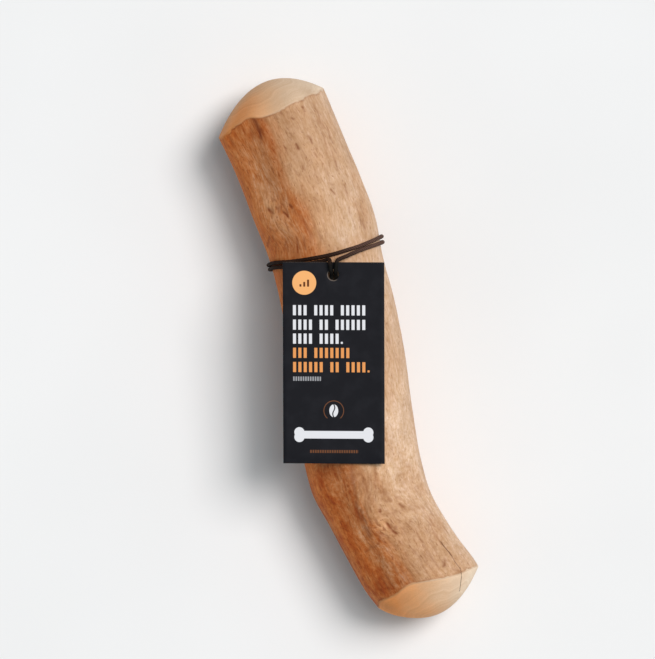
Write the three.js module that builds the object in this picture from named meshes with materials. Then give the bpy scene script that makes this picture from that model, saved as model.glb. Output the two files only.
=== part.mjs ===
// A chew stick of coffee-tree wood, peeled of its bark, with both sawn ends sanded to low domes.
// A doubled cord is hitched round the upper third and ties a small card tag to it.
// Millimetres. +Y runs from the lower end to the upper end, +Z is up, and the stick lies on z = 0.
// The finished model's origin is the middle of its footprint.
import * as THREE from "three";

const DEG = Math.PI / 180;

// Driving dimensions of the stick
const AROUND = 72; // faces round the branch
const ALONG = 42; // faces from rim to rim
const CAP_RINGS = 5; // rings of faces on each dome
const REACH = 118; // the branch's form is known this far each way, past both domes
const FOOTPRINT_MIDDLE = { x: -5.6, y: -0.4 }; // of the stick and the tag together

// The branch from end to end: where its middle runs, how high its underside is, and how thick it is.
const STATIONS = [
  { y: -REACH, middleX: 5.4, underside: 0.8, halfWidth: 22.4, halfHeight: 20.9 },
  { y: -100, middleX: 1.3, underside: -0.3, halfWidth: 22.1, halfHeight: 20.8 },
  { y: -80, middleX: -3.8, underside: 0.6, halfWidth: 21.3, halfHeight: 20.4 },
  { y: -65, middleX: -6.9, underside: 0.5, halfWidth: 21.1, halfHeight: 20.3 },
  { y: -50, middleX: -8.1, underside: -0.3, halfWidth: 22.6, halfHeight: 21.1 },
  { y: -30, middleX: -6.0, underside: 0.3, halfWidth: 23.0, halfHeight: 21.7 },
  { y: -10, middleX: -2.7, underside: 1.5, halfWidth: 23.0, halfHeight: 21.7 },
  { y: 10, middleX: 0.2, underside: 2.4, halfWidth: 22.5, halfHeight: 21.3 },
  { y: 30, middleX: 1.8, underside: 2.9, halfWidth: 21.9, halfHeight: 20.9 },
  { y: 45, middleX: 2.9, underside: 2.7, halfWidth: 22.5, halfHeight: 20.9 },
  { y: 60, middleX: 2.1, underside: 1.6, halfWidth: 22.8, halfHeight: 21.2 },
  { y: 80, middleX: 0.7, underside: 0.1, halfWidth: 22.6, halfHeight: 21.4 },
  { y: 100, middleX: -1.6, underside: -0.3, halfWidth: 23.2, halfHeight: 21.6 },
  { y: REACH, middleX: -3.8, underside: 0.8, halfWidth: 23.6, halfHeight: 21.8 },
];

// Swellings and hollows that grew with the branch: where each is, how far it spreads, how far it stands out.
const SWELLINGS = [
  { name: "upper shoulder", angle: 106, y: 76, spreadAngle: 10, spreadY: 26, height: 1.0 },
  { name: "upper hollow", angle: 131, y: 78, spreadAngle: 13, spreadY: 20, height: -1.7 },
  { name: "upper left cheek", angle: 158, y: 90, spreadAngle: 11, spreadY: 13, height: 0.6 },
  { name: "notch under the upper rim", angle: 117, y: 97, spreadAngle: 6, spreadY: 9, height: -1.0 },
  { name: "dip above the upper knot", angle: 119, y: 61, spreadAngle: 9, spreadY: 5, height: -0.6 },
  { name: "upper knot", angle: 121, y: 51, spreadAngle: 10, spreadY: 5, height: 0.7 },
  { name: "upper right swelling", angle: 62, y: 84, spreadAngle: 16, spreadY: 18, height: 0.5 },
  { name: "middle left flat", angle: 140, y: -12, spreadAngle: 15, spreadY: 26, height: -1.0 },
  { name: "lower shoulder", angle: 108, y: -62, spreadAngle: 9, spreadY: 20, height: 1.0 },
  { name: "lower hollow", angle: 130, y: -64, spreadAngle: 12, spreadY: 20, height: -1.5 },
  { name: "lower knot", angle: 84, y: -71, spreadAngle: 12, spreadY: 8, height: 1.0 },
  { name: "dip beside the lower knot", angle: 58, y: -77, spreadAngle: 10, spreadY: 9, height: -0.5 },
  { name: "twig scar", angle: 57, y: -93, spreadAngle: 6, spreadY: 4, height: 0.35 },
  { name: "lower left cheek", angle: 182, y: -92, spreadAngle: 14, spreadY: 8, height: 0.3 },
  { name: "worn lower left corner", angle: 172, y: -103, spreadAngle: 16, spreadY: 4, height: -1.2 },
  { name: "lower right cheek", angle: 4, y: -95, spreadAngle: 18, spreadY: 6, height: 0.6 },
  { name: "upper foot", angle: 284, y: 92, spreadAngle: 14, spreadY: 12, height: 0.5 },
  { name: "middle foot", angle: 256, y: -48, spreadAngle: 14, spreadY: 12, height: 0.6 },
  { name: "lower foot", angle: 284, y: -97, spreadAngle: 14, spreadY: 10, height: 0.5 },
];

// Slow waves in the wood: how many round the branch, their length along it, where they start, their height.
const WAVES = [
  { round: 3, length: 190, start: 0.4, height: 0.22 },
  { round: 5, length: -130, start: 1.9, height: 0.16 },
  { round: 8, length: 95, start: 4.1, height: 0.12 },
];

// Each sanded end is a paraboloid. The middle of its dome lies below the branch's own middle. It was
// sanded by hand, so places on it stand out or lie back a little, and the rim wavers there.
const DOMES = {
  upper: {
    apexX: 1.5,
    apexY: 110.6,
    belowMiddle: 2.0,
    flatness: 42,
    outward: 1,
    places: [
      { x: -10, z: 42, spread: 3.5, height: 1.1 },
      { x: 0, z: 43, spread: 4, height: -0.9 },
      { x: 10, z: 41, spread: 4, height: 0.7 },
    ],
  },
  lower: {
    apexX: 0.6,
    apexY: -111.4,
    belowMiddle: 2.6,
    flatness: 38.5,
    outward: -1,
    places: [
      { x: -17.5, z: 22, spread: 5, height: 1.2 },
      { x: -4, z: 43, spread: 6, height: -1.7 },
      { x: 6, z: 43, spread: 4, height: 0.3 },
    ],
  },
};

// Driving dimensions of the cord and the tag
const CORD_RADIUS = 0.8;
const CORD_SIDES = 8;
const ON_WOOD = CORD_RADIUS + 0.4; // the height of the cord's middle where it lies on the wood
const UNDER_STEP = 14; // degrees between the cord's points on the underside
const TAG_WIDTH = 40;
const TAG_HEIGHT = 79.4;
const TAG_THICKNESS = 0.8;
const HOLE_RADIUS = 2.15;
const HOLE_FROM_TOP = 4.9; // middle of the hole to the tag's top edge
const HOLE_SIDES = 48;
const TAG_PLACE = new THREE.Vector3(2.9, 29.3, 49.2); // middle of the hole, on the tag's front face
const TAG_TURN = -17.65 * DEG; // the tag hangs askew to the stick
const TAG_ROLL = -5 * DEG; // its left side lies lower
const TAG_PITCH = 4.8 * DEG; // its lower edge lies lower

// Value of one station field at y, on a smooth curve through the stations.
function atStation(field, y) {
  const last = STATIONS.length - 1;
  const slope = (i) => {
    const [before, after] = [STATIONS[Math.max(i - 1, 0)], STATIONS[Math.min(i + 1, last)]];
    return (after[field] - before[field]) / (after.y - before.y);
  };
  const clamped = THREE.MathUtils.clamp(y, -REACH, REACH);
  let i = 0;
  while (i < last - 1 && STATIONS[i + 1].y < clamped) i += 1;
  const [a, b] = [STATIONS[i], STATIONS[i + 1]];
  const span = b.y - a.y;
  const t = (clamped - a.y) / span;
  return (
    a[field] * (1 + 2 * t) * (1 - t) ** 2 +
    slope(i) * span * t * (1 - t) ** 2 +
    b[field] * t * t * (3 - 2 * t) +
    slope(i + 1) * span * t * t * (t - 1)
  );
}

// The middle of the branch at y.
function middle(y) {
  const z = atStation("underside", y) + atStation("halfHeight", y);
  return new THREE.Vector3(atStation("middleX", y), y, z);
}

// Distance from the branch's middle to its surface at an angle from +X towards +Z.
function branchRadius(angle, y) {
  const [c, s] = [Math.cos(angle), Math.sin(angle)];
  let radius = 1 / Math.hypot(c / atStation("halfWidth", y), s / atStation("halfHeight", y));
  for (const bump of SWELLINGS) {
    const turn = Math.atan2(Math.sin(angle - bump.angle * DEG), Math.cos(angle - bump.angle * DEG));
    const away = (turn / (bump.spreadAngle * DEG)) ** 2 + ((y - bump.y) / bump.spreadY) ** 2;
    radius += bump.height * Math.exp(-away / 2);
  }
  const topOnly = 0.5 + 0.5 * s; // the underside stays even, so that the stick lies steadily
  for (const wave of WAVES) {
    const phase = wave.round * angle + (2 * Math.PI * y) / wave.length + wave.start;
    radius += topOnly * wave.height * Math.sin(phase);
  }
  return radius;
}

// A point at a height over the branch's surface.
function overBranch(angle, y, height = 0) {
  const reach = branchRadius(angle, y) + height;
  const out = new THREE.Vector3(Math.cos(angle) * reach, 0, Math.sin(angle) * reach);
  return middle(y).add(out);
}

// The point on a dome that lies at x and z.
function onDome(dome, x, z) {
  const axisZ = middle(dome.apexY).z - dome.belowMiddle;
  let drop = ((x - dome.apexX) ** 2 + (z - axisZ) ** 2) / dome.flatness;
  for (const place of dome.places) {
    const away = ((x - place.x) ** 2 + (z - place.z) ** 2) / place.spread ** 2;
    drop -= place.height * Math.exp(-away / 2);
  }
  return new THREE.Vector3(x, dome.apexY - dome.outward * drop, z);
}

// Where the branch's surface meets a dome, found by halving the span that holds the meeting point.
function rimY(dome, angle) {
  let [inside, outside] = [dome.apexY - dome.outward * 40, dome.outward * REACH];
  for (let i = 0; i < 40; i += 1) {
    const y = (inside + outside) / 2;
    const point = overBranch(angle, y);
    const beyond = dome.outward * (y - onDome(dome, point.x, point.z).y) > 0;
    if (beyond) outside = y;
    else inside = y;
  }
  return inside;
}

// The whole stick as one closed surface: rows round the branch, then rings closing on each dome.
function stickGeometry() {
  const positions = [];
  const rows = [];
  const addRow = (points) => {
    rows.push(positions.length / 3);
    for (const p of points) positions.push(p.x, p.y, Math.max(p.z, 0));
  };
  const angles = Array.from({ length: AROUND }, (_, i) => (2 * Math.PI * i) / AROUND);
  const rims = {
    lower: angles.map((angle) => rimY(DOMES.lower, angle)),
    upper: angles.map((angle) => rimY(DOMES.upper, angle)),
  };
  const domePoint = (end, i, share) => {
    const rim = overBranch(angles[i], rims[end][i]);
    const pole = middle(DOMES[end].apexY);
    return onDome(DOMES[end], pole.x + (rim.x - pole.x) * share, pole.z + (rim.z - pole.z) * share);
  };
  for (let ring = 1; ring < CAP_RINGS; ring += 1) {
    addRow(angles.map((_, i) => domePoint("lower", i, ring / CAP_RINGS)));
  }
  for (let row = 0; row <= ALONG; row += 1) {
    const share = row / ALONG;
    addRow(angles.map((a, i) => overBranch(a, rims.lower[i] * (1 - share) + rims.upper[i] * share)));
  }
  for (let ring = CAP_RINGS - 1; ring > 0; ring -= 1) {
    addRow(angles.map((_, i) => domePoint("upper", i, ring / CAP_RINGS)));
  }
  const faces = [];
  for (let r = 0; r < rows.length - 1; r += 1) {
    for (let i = 0; i < AROUND; i += 1) {
      const next = (i + 1) % AROUND;
      const [a, b, c, d] = [rows[r] + i, rows[r] + next, rows[r + 1] + next, rows[r + 1] + i];
      faces.push(a, d, c, a, c, b);
    }
  }
  const poles = ["lower", "upper"].map((end) => {
    const p = domePoint(end, 0, 0);
    positions.push(p.x, p.y, p.z);
    return positions.length / 3 - 1;
  });
  const lastRow = rows[rows.length - 1];
  for (let i = 0; i < AROUND; i += 1) {
    const next = (i + 1) % AROUND;
    faces.push(poles[0], i, next, poles[1], lastRow + next, lastRow + i);
  }
  const geometry = new THREE.BufferGeometry();
  geometry.setAttribute("position", new THREE.Float32BufferAttribute(positions, 3));
  geometry.setIndex(faces);
  geometry.computeVertexNormals();
  return geometry;
}

// The tag's own frame: u to its right, v up its face, w out of its front, from the middle of the hole.
const tagFrame = new THREE.Group();
tagFrame.position.copy(TAG_PLACE);
tagFrame.rotation.set(TAG_PITCH, TAG_ROLL, TAG_TURN, "ZYX");
tagFrame.updateMatrixWorld(true);

// The tag: a stiff card with a punched hole.
function tagGeometry() {
  const [left, right] = [-TAG_WIDTH / 2, TAG_WIDTH / 2];
  const [bottom, top] = [HOLE_FROM_TOP - TAG_HEIGHT, HOLE_FROM_TOP];
  const card = new THREE.Shape([
    new THREE.Vector2(left, bottom),
    new THREE.Vector2(right, bottom),
    new THREE.Vector2(right, top),
    new THREE.Vector2(left, top),
  ]);
  card.holes.push(new THREE.Path().absarc(0, 0, HOLE_RADIUS, 0, 2 * Math.PI, true));
  const settings = { depth: TAG_THICKNESS, bevelEnabled: false, curveSegments: HOLE_SIDES / 2 };
  return new THREE.ExtrudeGeometry(card, settings).translate(0, 0, -TAG_THICKNESS);
}

// The cord's route, chosen by hand. Points by the wood are [angle, y, height of the cord's middle];
// points by the tag are [u, v, w] in the tag's own frame. It goes twice round the stick: out of the
// hole and to the right, round under the wood, across the top, round again and back to the hole.
const RIGHT_END = [
  [1.2, -5.6, -2.3],
  [1.0, -3.6, -2.3],
  [0.9, -1.6, -2.25],
  [0.82, 0.0, -1.55],
  [0.82, 0.7, -0.4],
];
const RIGHT_LEG = [
  [0.9, 1.5, 0.85],
  [1.05, 2.9, 1.2],
  [1.25, 4.3, 1.15],
  [1.55, 5.6, 0.65],
  [2.2, 6.1, -0.6],
];
const FIRST_STRAND = [
  [70, 34.8, 3.1],
  [63, 35.1, 2.2],
  [52, 35.4, 1.5],
  [39, 35.6, ON_WOOD],
  [26, 35.7, ON_WOOD],
  [13, 35.8, ON_WOOD],
];
const FIRST_PASS_UNDER = [
  [-1, 36.0, ON_WOOD],
  [-15, 36.2, ON_WOOD],
  [-29, 36.8, ON_WOOD],
  [-43, 37.9, ON_WOOD],
  [-57, 39.2, ON_WOOD],
  [-71, 40.0, ON_WOOD],
];
const SECOND_STRAND = [
  [159, 40.9, ON_WOOD],
  [146, 40.4, ON_WOOD],
  [133, 39.5, ON_WOOD],
  [118, 38.6, ON_WOOD],
  [104, 37.9, ON_WOOD],
  [91, 37.3, ON_WOOD],
  [79, 37.0, ON_WOOD],
  [67, 37.0, ON_WOOD],
  [54, 37.0, ON_WOOD],
  [41, 37.3, ON_WOOD],
  [27, 37.7, ON_WOOD],
  [12, 38.2, ON_WOOD],
];
const SECOND_PASS_UNDER = [
  [-1, 38.2, ON_WOOD],
  [-15, 38.1, 1.5],
  [-29, 38.0, 2.5],
  [-43, 37.9, 3.0],
  [-57, 37.9, 2.5],
  [-71, 38.0, 1.5],
];
const THIRD_STRAND = [
  [162, 39.1, ON_WOOD],
  [149, 38.7, ON_WOOD],
  [135, 37.7, ON_WOOD],
  [120, 36.9, ON_WOOD],
  [110, 36.4, 1.3],
  [101, 36.0, 1.6],
];
const LEFT_LEG = [
  [-4.2, 5.2, -2.3],
  [-2.5, 5.9, -1.3],
  [-1.7, 6.0, -0.1],
  [-1.35, 5.4, 0.85],
  [-1.2, 4.2, 1.2],
  [-1.05, 2.9, 1.2],
  [-0.9, 1.5, 0.85],
];

// Points round the rest of the underside, in even steps.
function roundUnderside(fromAngle, fromY, toAngle, toY) {
  const steps = Math.round(Math.abs(toAngle - fromAngle) / UNDER_STEP);
  return Array.from({ length: steps - 1 }, (_, i) => {
    const share = (i + 1) / steps;
    return [fromAngle + (toAngle - fromAngle) * share, fromY + (toY - fromY) * share, ON_WOOD];
  });
}

function cordRoute() {
  const byWood = (list) => list.map(([angle, y, height]) => overBranch(angle * DEG, y, height));
  const byTag = (list) => list.map((p) => tagFrame.localToWorld(new THREE.Vector3(...p)));
  const leftEnd = [...RIGHT_END].reverse().map(([u, v, w]) => [-u, v, w]);
  return [
    ...byTag([...RIGHT_END, ...RIGHT_LEG]),
    ...byWood([...FIRST_STRAND, ...FIRST_PASS_UNDER, ...roundUnderside(-71, 40.0, -201, 40.9)]),
    ...byWood([...SECOND_STRAND, ...SECOND_PASS_UNDER, ...roundUnderside(-71, 38.0, -198, 39.1)]),
    ...byWood(THIRD_STRAND),
    ...byTag([...LEFT_LEG, ...leftEnd]),
  ];
}

// A smooth route that puts one ring of the tube at each chosen point.
class CordRoute extends THREE.CatmullRomCurve3 {
  getPointAt(share, target) {
    return this.getPoint(share, target);
  }

  getTangentAt(share, target) {
    return this.getTangent(share, target);
  }
}

function cordGeometry() {
  const points = cordRoute();
  const section = new THREE.Shape(
    Array.from({ length: CORD_SIDES }, (_, i) => {
      const angle = (2 * Math.PI * i) / CORD_SIDES;
      return new THREE.Vector2(Math.cos(angle) * CORD_RADIUS, Math.sin(angle) * CORD_RADIUS);
    })
  );
  const extrudePath = new CordRoute(points, false, "centripetal");
  return new THREE.ExtrudeGeometry(section, { steps: points.length - 1, extrudePath });
}

// One named piece with its own material.
function piece(name, geometry, color, roughness) {
  const material = new THREE.MeshStandardMaterial({ color, roughness, metalness: 0 });
  const mesh = new THREE.Mesh(geometry, material);
  mesh.name = name;
  return mesh;
}

const stick = piece("stick", stickGeometry(), 0xc99a6c, 0.7);
const tag = piece("tag", tagGeometry(), 0x24242a, 0.6);
const cord = piece("cord", cordGeometry(), 0x3a241a, 0.6);
tagFrame.add(tag);

const chewStick = new THREE.Group();
chewStick.add(stick, tagFrame, cord);
chewStick.position.set(-FOOTPRINT_MIDDLE.x, -FOOTPRINT_MIDDLE.y, 0);

export default chewStick;
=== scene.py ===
# %% [markdown]
# # A chew stick of coffee-tree wood
#
# A short, bent branch of coffee wood lies on a pale table. Its bark is peeled off, its two sawn ends
# are sanded to low domes, and a dark waxed cord ties a black card tag to it. The solids of the
# imported model fix where everything is; this lesson gives each piece the surface of the real thing.
# We start by loading that frame and by keeping its box, to hold our own pieces inside it.

import bpy
import numpy as np
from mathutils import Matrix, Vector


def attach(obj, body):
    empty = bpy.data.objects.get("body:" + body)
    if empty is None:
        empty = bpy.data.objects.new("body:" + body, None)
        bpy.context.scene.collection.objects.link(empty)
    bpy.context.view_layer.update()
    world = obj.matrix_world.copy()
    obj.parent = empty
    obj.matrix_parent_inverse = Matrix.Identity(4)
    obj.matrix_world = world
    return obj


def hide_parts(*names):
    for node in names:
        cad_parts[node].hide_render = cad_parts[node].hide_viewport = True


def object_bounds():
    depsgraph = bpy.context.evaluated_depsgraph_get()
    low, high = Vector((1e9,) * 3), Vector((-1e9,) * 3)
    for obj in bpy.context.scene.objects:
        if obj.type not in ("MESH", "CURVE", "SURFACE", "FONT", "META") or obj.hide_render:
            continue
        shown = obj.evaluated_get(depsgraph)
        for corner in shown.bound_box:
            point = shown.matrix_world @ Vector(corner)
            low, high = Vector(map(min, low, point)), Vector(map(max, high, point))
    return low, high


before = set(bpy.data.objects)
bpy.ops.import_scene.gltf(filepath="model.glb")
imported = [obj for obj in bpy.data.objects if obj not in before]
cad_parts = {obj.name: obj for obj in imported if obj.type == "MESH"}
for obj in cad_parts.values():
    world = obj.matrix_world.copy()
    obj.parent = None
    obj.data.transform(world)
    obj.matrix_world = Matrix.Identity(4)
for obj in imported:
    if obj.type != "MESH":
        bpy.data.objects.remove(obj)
cad_box = [list(corner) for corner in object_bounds()]
print("box of the solids, in mm:", np.round(np.array(cad_box) * 1000, 1).tolist())

MM = 0.001
FOOTPRINT_MIDDLE = np.array([-5.6, -0.4, 0.0]) * MM  # the origin, in the branch's own coordinates

# %% [markdown]
# ## The camera
#
# The stick was photographed from straight above through a long lens, so there is almost no
# perspective: the card's edges run parallel. A camera three metres up gives that. It is rolled,
# because the stick leans in the picture while the frame's +Y runs along it. The focal length follows
# from how many millimetres one pixel covers at the stick's middle height.

# %% Camera
PICTURE_HEIGHT = 659  # pixels, the picture's longer side
PIXEL = 0.396 * MM
MIDDLE_HEIGHT = 22 * MM
CAMERA_HEIGHT = 3.0
SENSOR = 36.0
ROLL = np.radians(-17.4)
AIM = np.array([-5.75, 9.48, 0.0]) * MM - FOOTPRINT_MIDDLE

lens_data = bpy.data.cameras.new("camera")
lens_data.sensor_width = SENSOR
lens_data.lens = SENSOR * (CAMERA_HEIGHT - MIDDLE_HEIGHT) / (PICTURE_HEIGHT * PIXEL)
lens_data.clip_start = 0.1
lens_data.clip_end = 20.0
camera = bpy.data.objects.new("camera", lens_data)
camera.location = (AIM[0], AIM[1], CAMERA_HEIGHT)
camera.rotation_euler = (0.0, 0.0, ROLL)
bpy.context.scene.collection.objects.link(camera)
bpy.context.scene.camera = camera
print(f"lens {lens_data.lens:.0f} mm, {CAMERA_HEIGHT} m up")

# %% [markdown]
# ## The branch's form
#
# A branch is a tube that wanders. A few stations along its length say where its middle runs, how high
# its underside is and how wide and tall it is there, and a smooth curve joins them. These are the
# same values as in the solid, so the fine surface follows the solid everywhere.

# %% Stations of the branch
REACH = 118 * MM
STATION_FIELDS = ("y", "middle_x", "underside", "half_width", "half_height")
STATIONS = MM * np.array([
    (-118, 5.4, 0.8, 22.4, 20.9),
    (-100, 1.3, -0.3, 22.1, 20.8),
    (-80, -3.8, 0.6, 21.3, 20.4),
    (-65, -6.9, 0.5, 21.1, 20.3),
    (-50, -8.1, -0.3, 22.6, 21.1),
    (-30, -6.0, 0.3, 23.0, 21.7),
    (-10, -2.7, 1.5, 23.0, 21.7),
    (10, 0.2, 2.4, 22.5, 21.3),
    (30, 1.8, 2.9, 21.9, 20.9),
    (45, 2.9, 2.7, 22.5, 20.9),
    (60, 2.1, 1.6, 22.8, 21.2),
    (80, 0.7, 0.1, 22.6, 21.4),
    (100, -1.6, -0.3, 23.2, 21.6),
    (118, -3.8, 0.8, 23.6, 21.8),
])


def cubic(start, leaving, stop, arriving, t):
    """The smooth curve from start to stop while t goes from 0 to 1, with the given slope at each end."""
    return (
        start * (1 + 2 * t) * (1 - t) ** 2
        + leaving * t * (1 - t) ** 2
        + stop * t * t * (3 - 2 * t)
        + arriving * t * t * (t - 1)
    )


def at_station(field, y):
    """One field of the stations at y: between two stations, the cubic that leaves and arrives with the
    slope from the station before to the one after (the outermost stations use their only neighbour)."""
    known_y = STATIONS[:, 0]
    values = STATIONS[:, STATION_FIELDS.index(field)]
    before = np.maximum(np.arange(len(known_y)) - 1, 0)
    after = np.minimum(np.arange(len(known_y)) + 1, len(known_y) - 1)
    slope = (values[after] - values[before]) / (known_y[after] - known_y[before])
    y = np.clip(y, -REACH, REACH)
    i = np.clip(np.searchsorted(known_y, y, side="right") - 1, 0, len(known_y) - 2)
    span = known_y[i + 1] - known_y[i]
    t = (y - known_y[i]) / span
    return cubic(values[i], slope[i] * span, values[i + 1], slope[i + 1] * span, t)


def middle(y):
    """The branch's middle at y: x from the stations, z is the underside's height plus half the height."""
    z = at_station("underside", y) + at_station("half_height", y)
    return np.stack([at_station("middle_x", y), y + 0 * z, z], axis=-1)


# %% [markdown]
# On that tube sit the forms that grew with it: a shoulder that runs along the top with a hollow beside
# it, a few knots and the slow waves of the wood. Each is a soft bump with its own place and spread.
# The middles of the three feet on the underside keep the stick from rolling.

# %% Swellings and waves of the branch
SWELLINGS = np.array([
    # angle, y, spread of the angle, spread along y, height
    (106, 76, 10, 26, 1.0),  # upper shoulder
    (131, 78, 13, 20, -1.7),  # upper hollow
    (158, 90, 11, 13, 0.6),  # upper left cheek
    (117, 97, 6, 9, -1.0),  # notch under the upper rim
    (119, 61, 9, 5, -0.6),  # dip above the upper knot
    (121, 51, 10, 5, 0.7),  # upper knot
    (62, 84, 16, 18, 0.5),  # upper right swelling
    (140, -12, 15, 26, -1.0),  # middle left flat
    (108, -62, 9, 20, 1.0),  # lower shoulder
    (130, -64, 12, 20, -1.5),  # lower hollow
    (84, -71, 12, 8, 1.0),  # lower knot
    (58, -77, 10, 9, -0.5),  # dip beside the lower knot
    (57, -93, 6, 4, 0.35),  # twig scar
    (182, -92, 14, 8, 0.3),  # lower left cheek
    (172, -103, 16, 4, -1.2),  # worn lower left corner
    (4, -95, 18, 6, 0.6),  # lower right cheek
    (284, 92, 14, 12, 0.5),  # upper foot
    (256, -48, 14, 12, 0.6),  # middle foot
    (284, -97, 14, 10, 0.5),  # lower foot
])
WAVES = ((3, 190, 0.4, 0.22), (5, -130, 1.9, 0.16), (8, 95, 4.1, 0.12))  # round, length, start, height


def turned(angle, centre):
    """The shortest turn from centre to angle, between minus and plus half a turn."""
    return np.arctan2(np.sin(angle - centre), np.cos(angle - centre))


def spot(angle, y, centre, centre_y, spread, spread_y):
    """A soft round mask: e to the minus half of the squared distance, counted in spreads."""
    away = (turned(angle, np.radians(centre)) / np.radians(spread)) ** 2
    return np.exp(-0.5 * (away + ((y - centre_y * MM) / (spread_y * MM)) ** 2))


def branch_radius(angle, y):
    """Distance from the middle to the surface: the radius of an ellipse, plus every swelling's height
    times its spot, plus sine waves that fade out towards the underside."""
    across = np.cos(angle) / at_station("half_width", y)
    upright = np.sin(angle) / at_station("half_height", y)
    radius = 1 / np.hypot(across, upright)
    for centre, centre_y, spread, spread_y, height in SWELLINGS:
        radius = radius + height * MM * spot(angle, y, centre, centre_y, spread, spread_y)
    top_only = 0.5 + 0.5 * np.sin(angle)
    for round_count, length, start, height in WAVES:
        phase = round_count * angle + 2 * np.pi * y / (length * MM) + start
        radius = radius + top_only * height * MM * np.sin(phase)
    return radius


def over_branch(angle, y, height=0.0):
    """The point at a height over the branch's surface, straight out from its middle at y."""
    reach = branch_radius(angle, y) + height
    out = np.stack([np.cos(angle) * reach, 0 * reach, np.sin(angle) * reach], axis=-1)
    return middle(y) + out


top = over_branch(np.radians(90.0), np.linspace(-0.1, 0.1, 5))
print("height of the wood's top along the stick, in mm:", np.round(top[:, 2] / MM, 1).tolist())

# %% [markdown]
# ## The sanded ends
#
# A sanding disc turned each sawn end into a low dome: a paraboloid across the branch. Where the
# branch's surface meets the dome there is a crisp rim, which wavers with the branch's own hollows.
# Halving an interval again and again finds that meeting point for every angle at once.

# %% Domes and rims
DOMES = {
    "upper": {"apex_x": 1.5 * MM, "apex_y": 110.6 * MM, "below": 2.0 * MM, "flatness": 42.0 * MM},
    "lower": {"apex_x": 0.6 * MM, "apex_y": -111.4 * MM, "below": 2.6 * MM, "flatness": 38.5 * MM},
}
DOME_PLACES = {
    # x, z, spread, height
    "upper": MM * np.array([(-10, 42, 3.5, 1.1), (0, 43, 4, -0.9), (10, 41, 4, 0.7)]),
    "lower": MM * np.array([(-17.5, 22, 5, 1.2), (-4, 43, 6, -1.7), (6, 43, 4, 0.3)]),
}
RIM_SEARCH = 40 * MM
HALVINGS = 40


def dome_middle(end):
    """The branch's middle where the dome is highest."""
    return middle(np.array(DOMES[end]["apex_y"]))


def on_dome(end, x, z):
    """The dome's surface at x and z: it falls off from its apex, which lies a little below the branch's
    middle, by the squared distance over its flatness, less a soft bump or hollow at each place that the
    sanding by hand left."""
    dome = DOMES[end]
    axis_z = dome_middle(end)[2] - dome["below"]
    drop = ((x - dome["apex_x"]) ** 2 + (z - axis_z) ** 2) / dome["flatness"]
    for place_x, place_z, spread, height in DOME_PLACES[end]:
        away = ((x - place_x) ** 2 + (z - place_z) ** 2) / spread**2
        drop = drop - height * np.exp(-away / 2)
    return np.stack([x, dome["apex_y"] - np.sign(dome["apex_y"]) * drop, z], axis=-1)


def rim_y(end, angle):
    """Where the branch meets the dome at each angle, by halving the span between inside and outside."""
    outward = np.sign(DOMES[end]["apex_y"])
    inside = np.full_like(angle, DOMES[end]["apex_y"] - outward * RIM_SEARCH)
    outside = np.full_like(angle, outward * REACH)
    for _ in range(HALVINGS):
        y = (inside + outside) / 2
        point = over_branch(angle, y)
        beyond = outward * (y - on_dome(end, point[:, 0], point[:, 2])[:, 1]) > 0
        outside = np.where(beyond, y, outside)
        inside = np.where(beyond, inside, y)
    return inside


quarters = np.radians([0.0, 90.0, 180.0, 270.0])
for end in DOMES:
    print(f"{end} rim's y at the four quarters, in mm:", np.round(rim_y(end, quarters) / MM, 1).tolist())

# %% [markdown]
# ## Peeled wood in relief
#
# Under the bark, wood is neither smooth nor rough: short wavy fibres run along it over broad soft lumps,
# and they flow round knots. This relief is made as heights over the branch, from soft noise on a lattice
# that closes round the branch. It could be painted as bump alone, but real heights also catch the
# light at the outline and go into the mesh.

# %% Noise that runs round and along the branch
ROUND_LENGTH = 140 * MM  # round the branch, on average
MEAN_RADIUS = ROUND_LENGTH / (2 * np.pi)


def grain_noise(seed, angle, y, width, length):
    """Soft noise from -1 to 1: random values on a lattice of cells of that width round the branch and
    that length along it, joined by smooth steps. It closes on itself after a full turn."""
    columns = max(3, int(round(ROUND_LENGTH / width)))
    rows = int(np.ceil(2 * REACH / length)) + 3
    lattice = np.random.default_rng(seed).uniform(-1, 1, (columns, rows))
    u = (angle / (2 * np.pi)) % 1.0 * columns
    v = np.clip((y + REACH) / length, 0, rows - 1.001)
    i, j = np.floor(u).astype(int), np.floor(v).astype(int)
    s, t = u - i, v - j
    s, t = s * s * (3 - 2 * s), t * t * (3 - 2 * t)
    i, right, up = i % columns, (i + 1) % columns, np.minimum(j + 1, rows - 1)
    near = lattice[i, j] * (1 - s) + lattice[right, j] * s
    far = lattice[i, up] * (1 - s) + lattice[right, up] * s
    return near * (1 - t) + far * t


def layered_noise(layers, angle, y):
    """The sum of several noises, each times its own strength."""
    return sum(
        strength * grain_noise(seed, angle, y, width * MM, length * MM)
        for seed, strength, width, length in layers
    )


def smooth_step(low, high, value):
    """0 at low, 1 at high, a smooth change between them and level beyond. Low may be the larger."""
    t = np.clip((value - low) / (high - low), 0, 1)
    return t * t * (3 - 2 * t)


# %% [markdown]
# Where nothing disturbs it, a fibre keeps its angle all along the branch. Here it wanders slowly, is pushed
# aside by each knot as water is by a stone, and leans over at a few places. All of that is
# one sideways shift of the angle: the patterns below are then read at the shifted angle.

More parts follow.
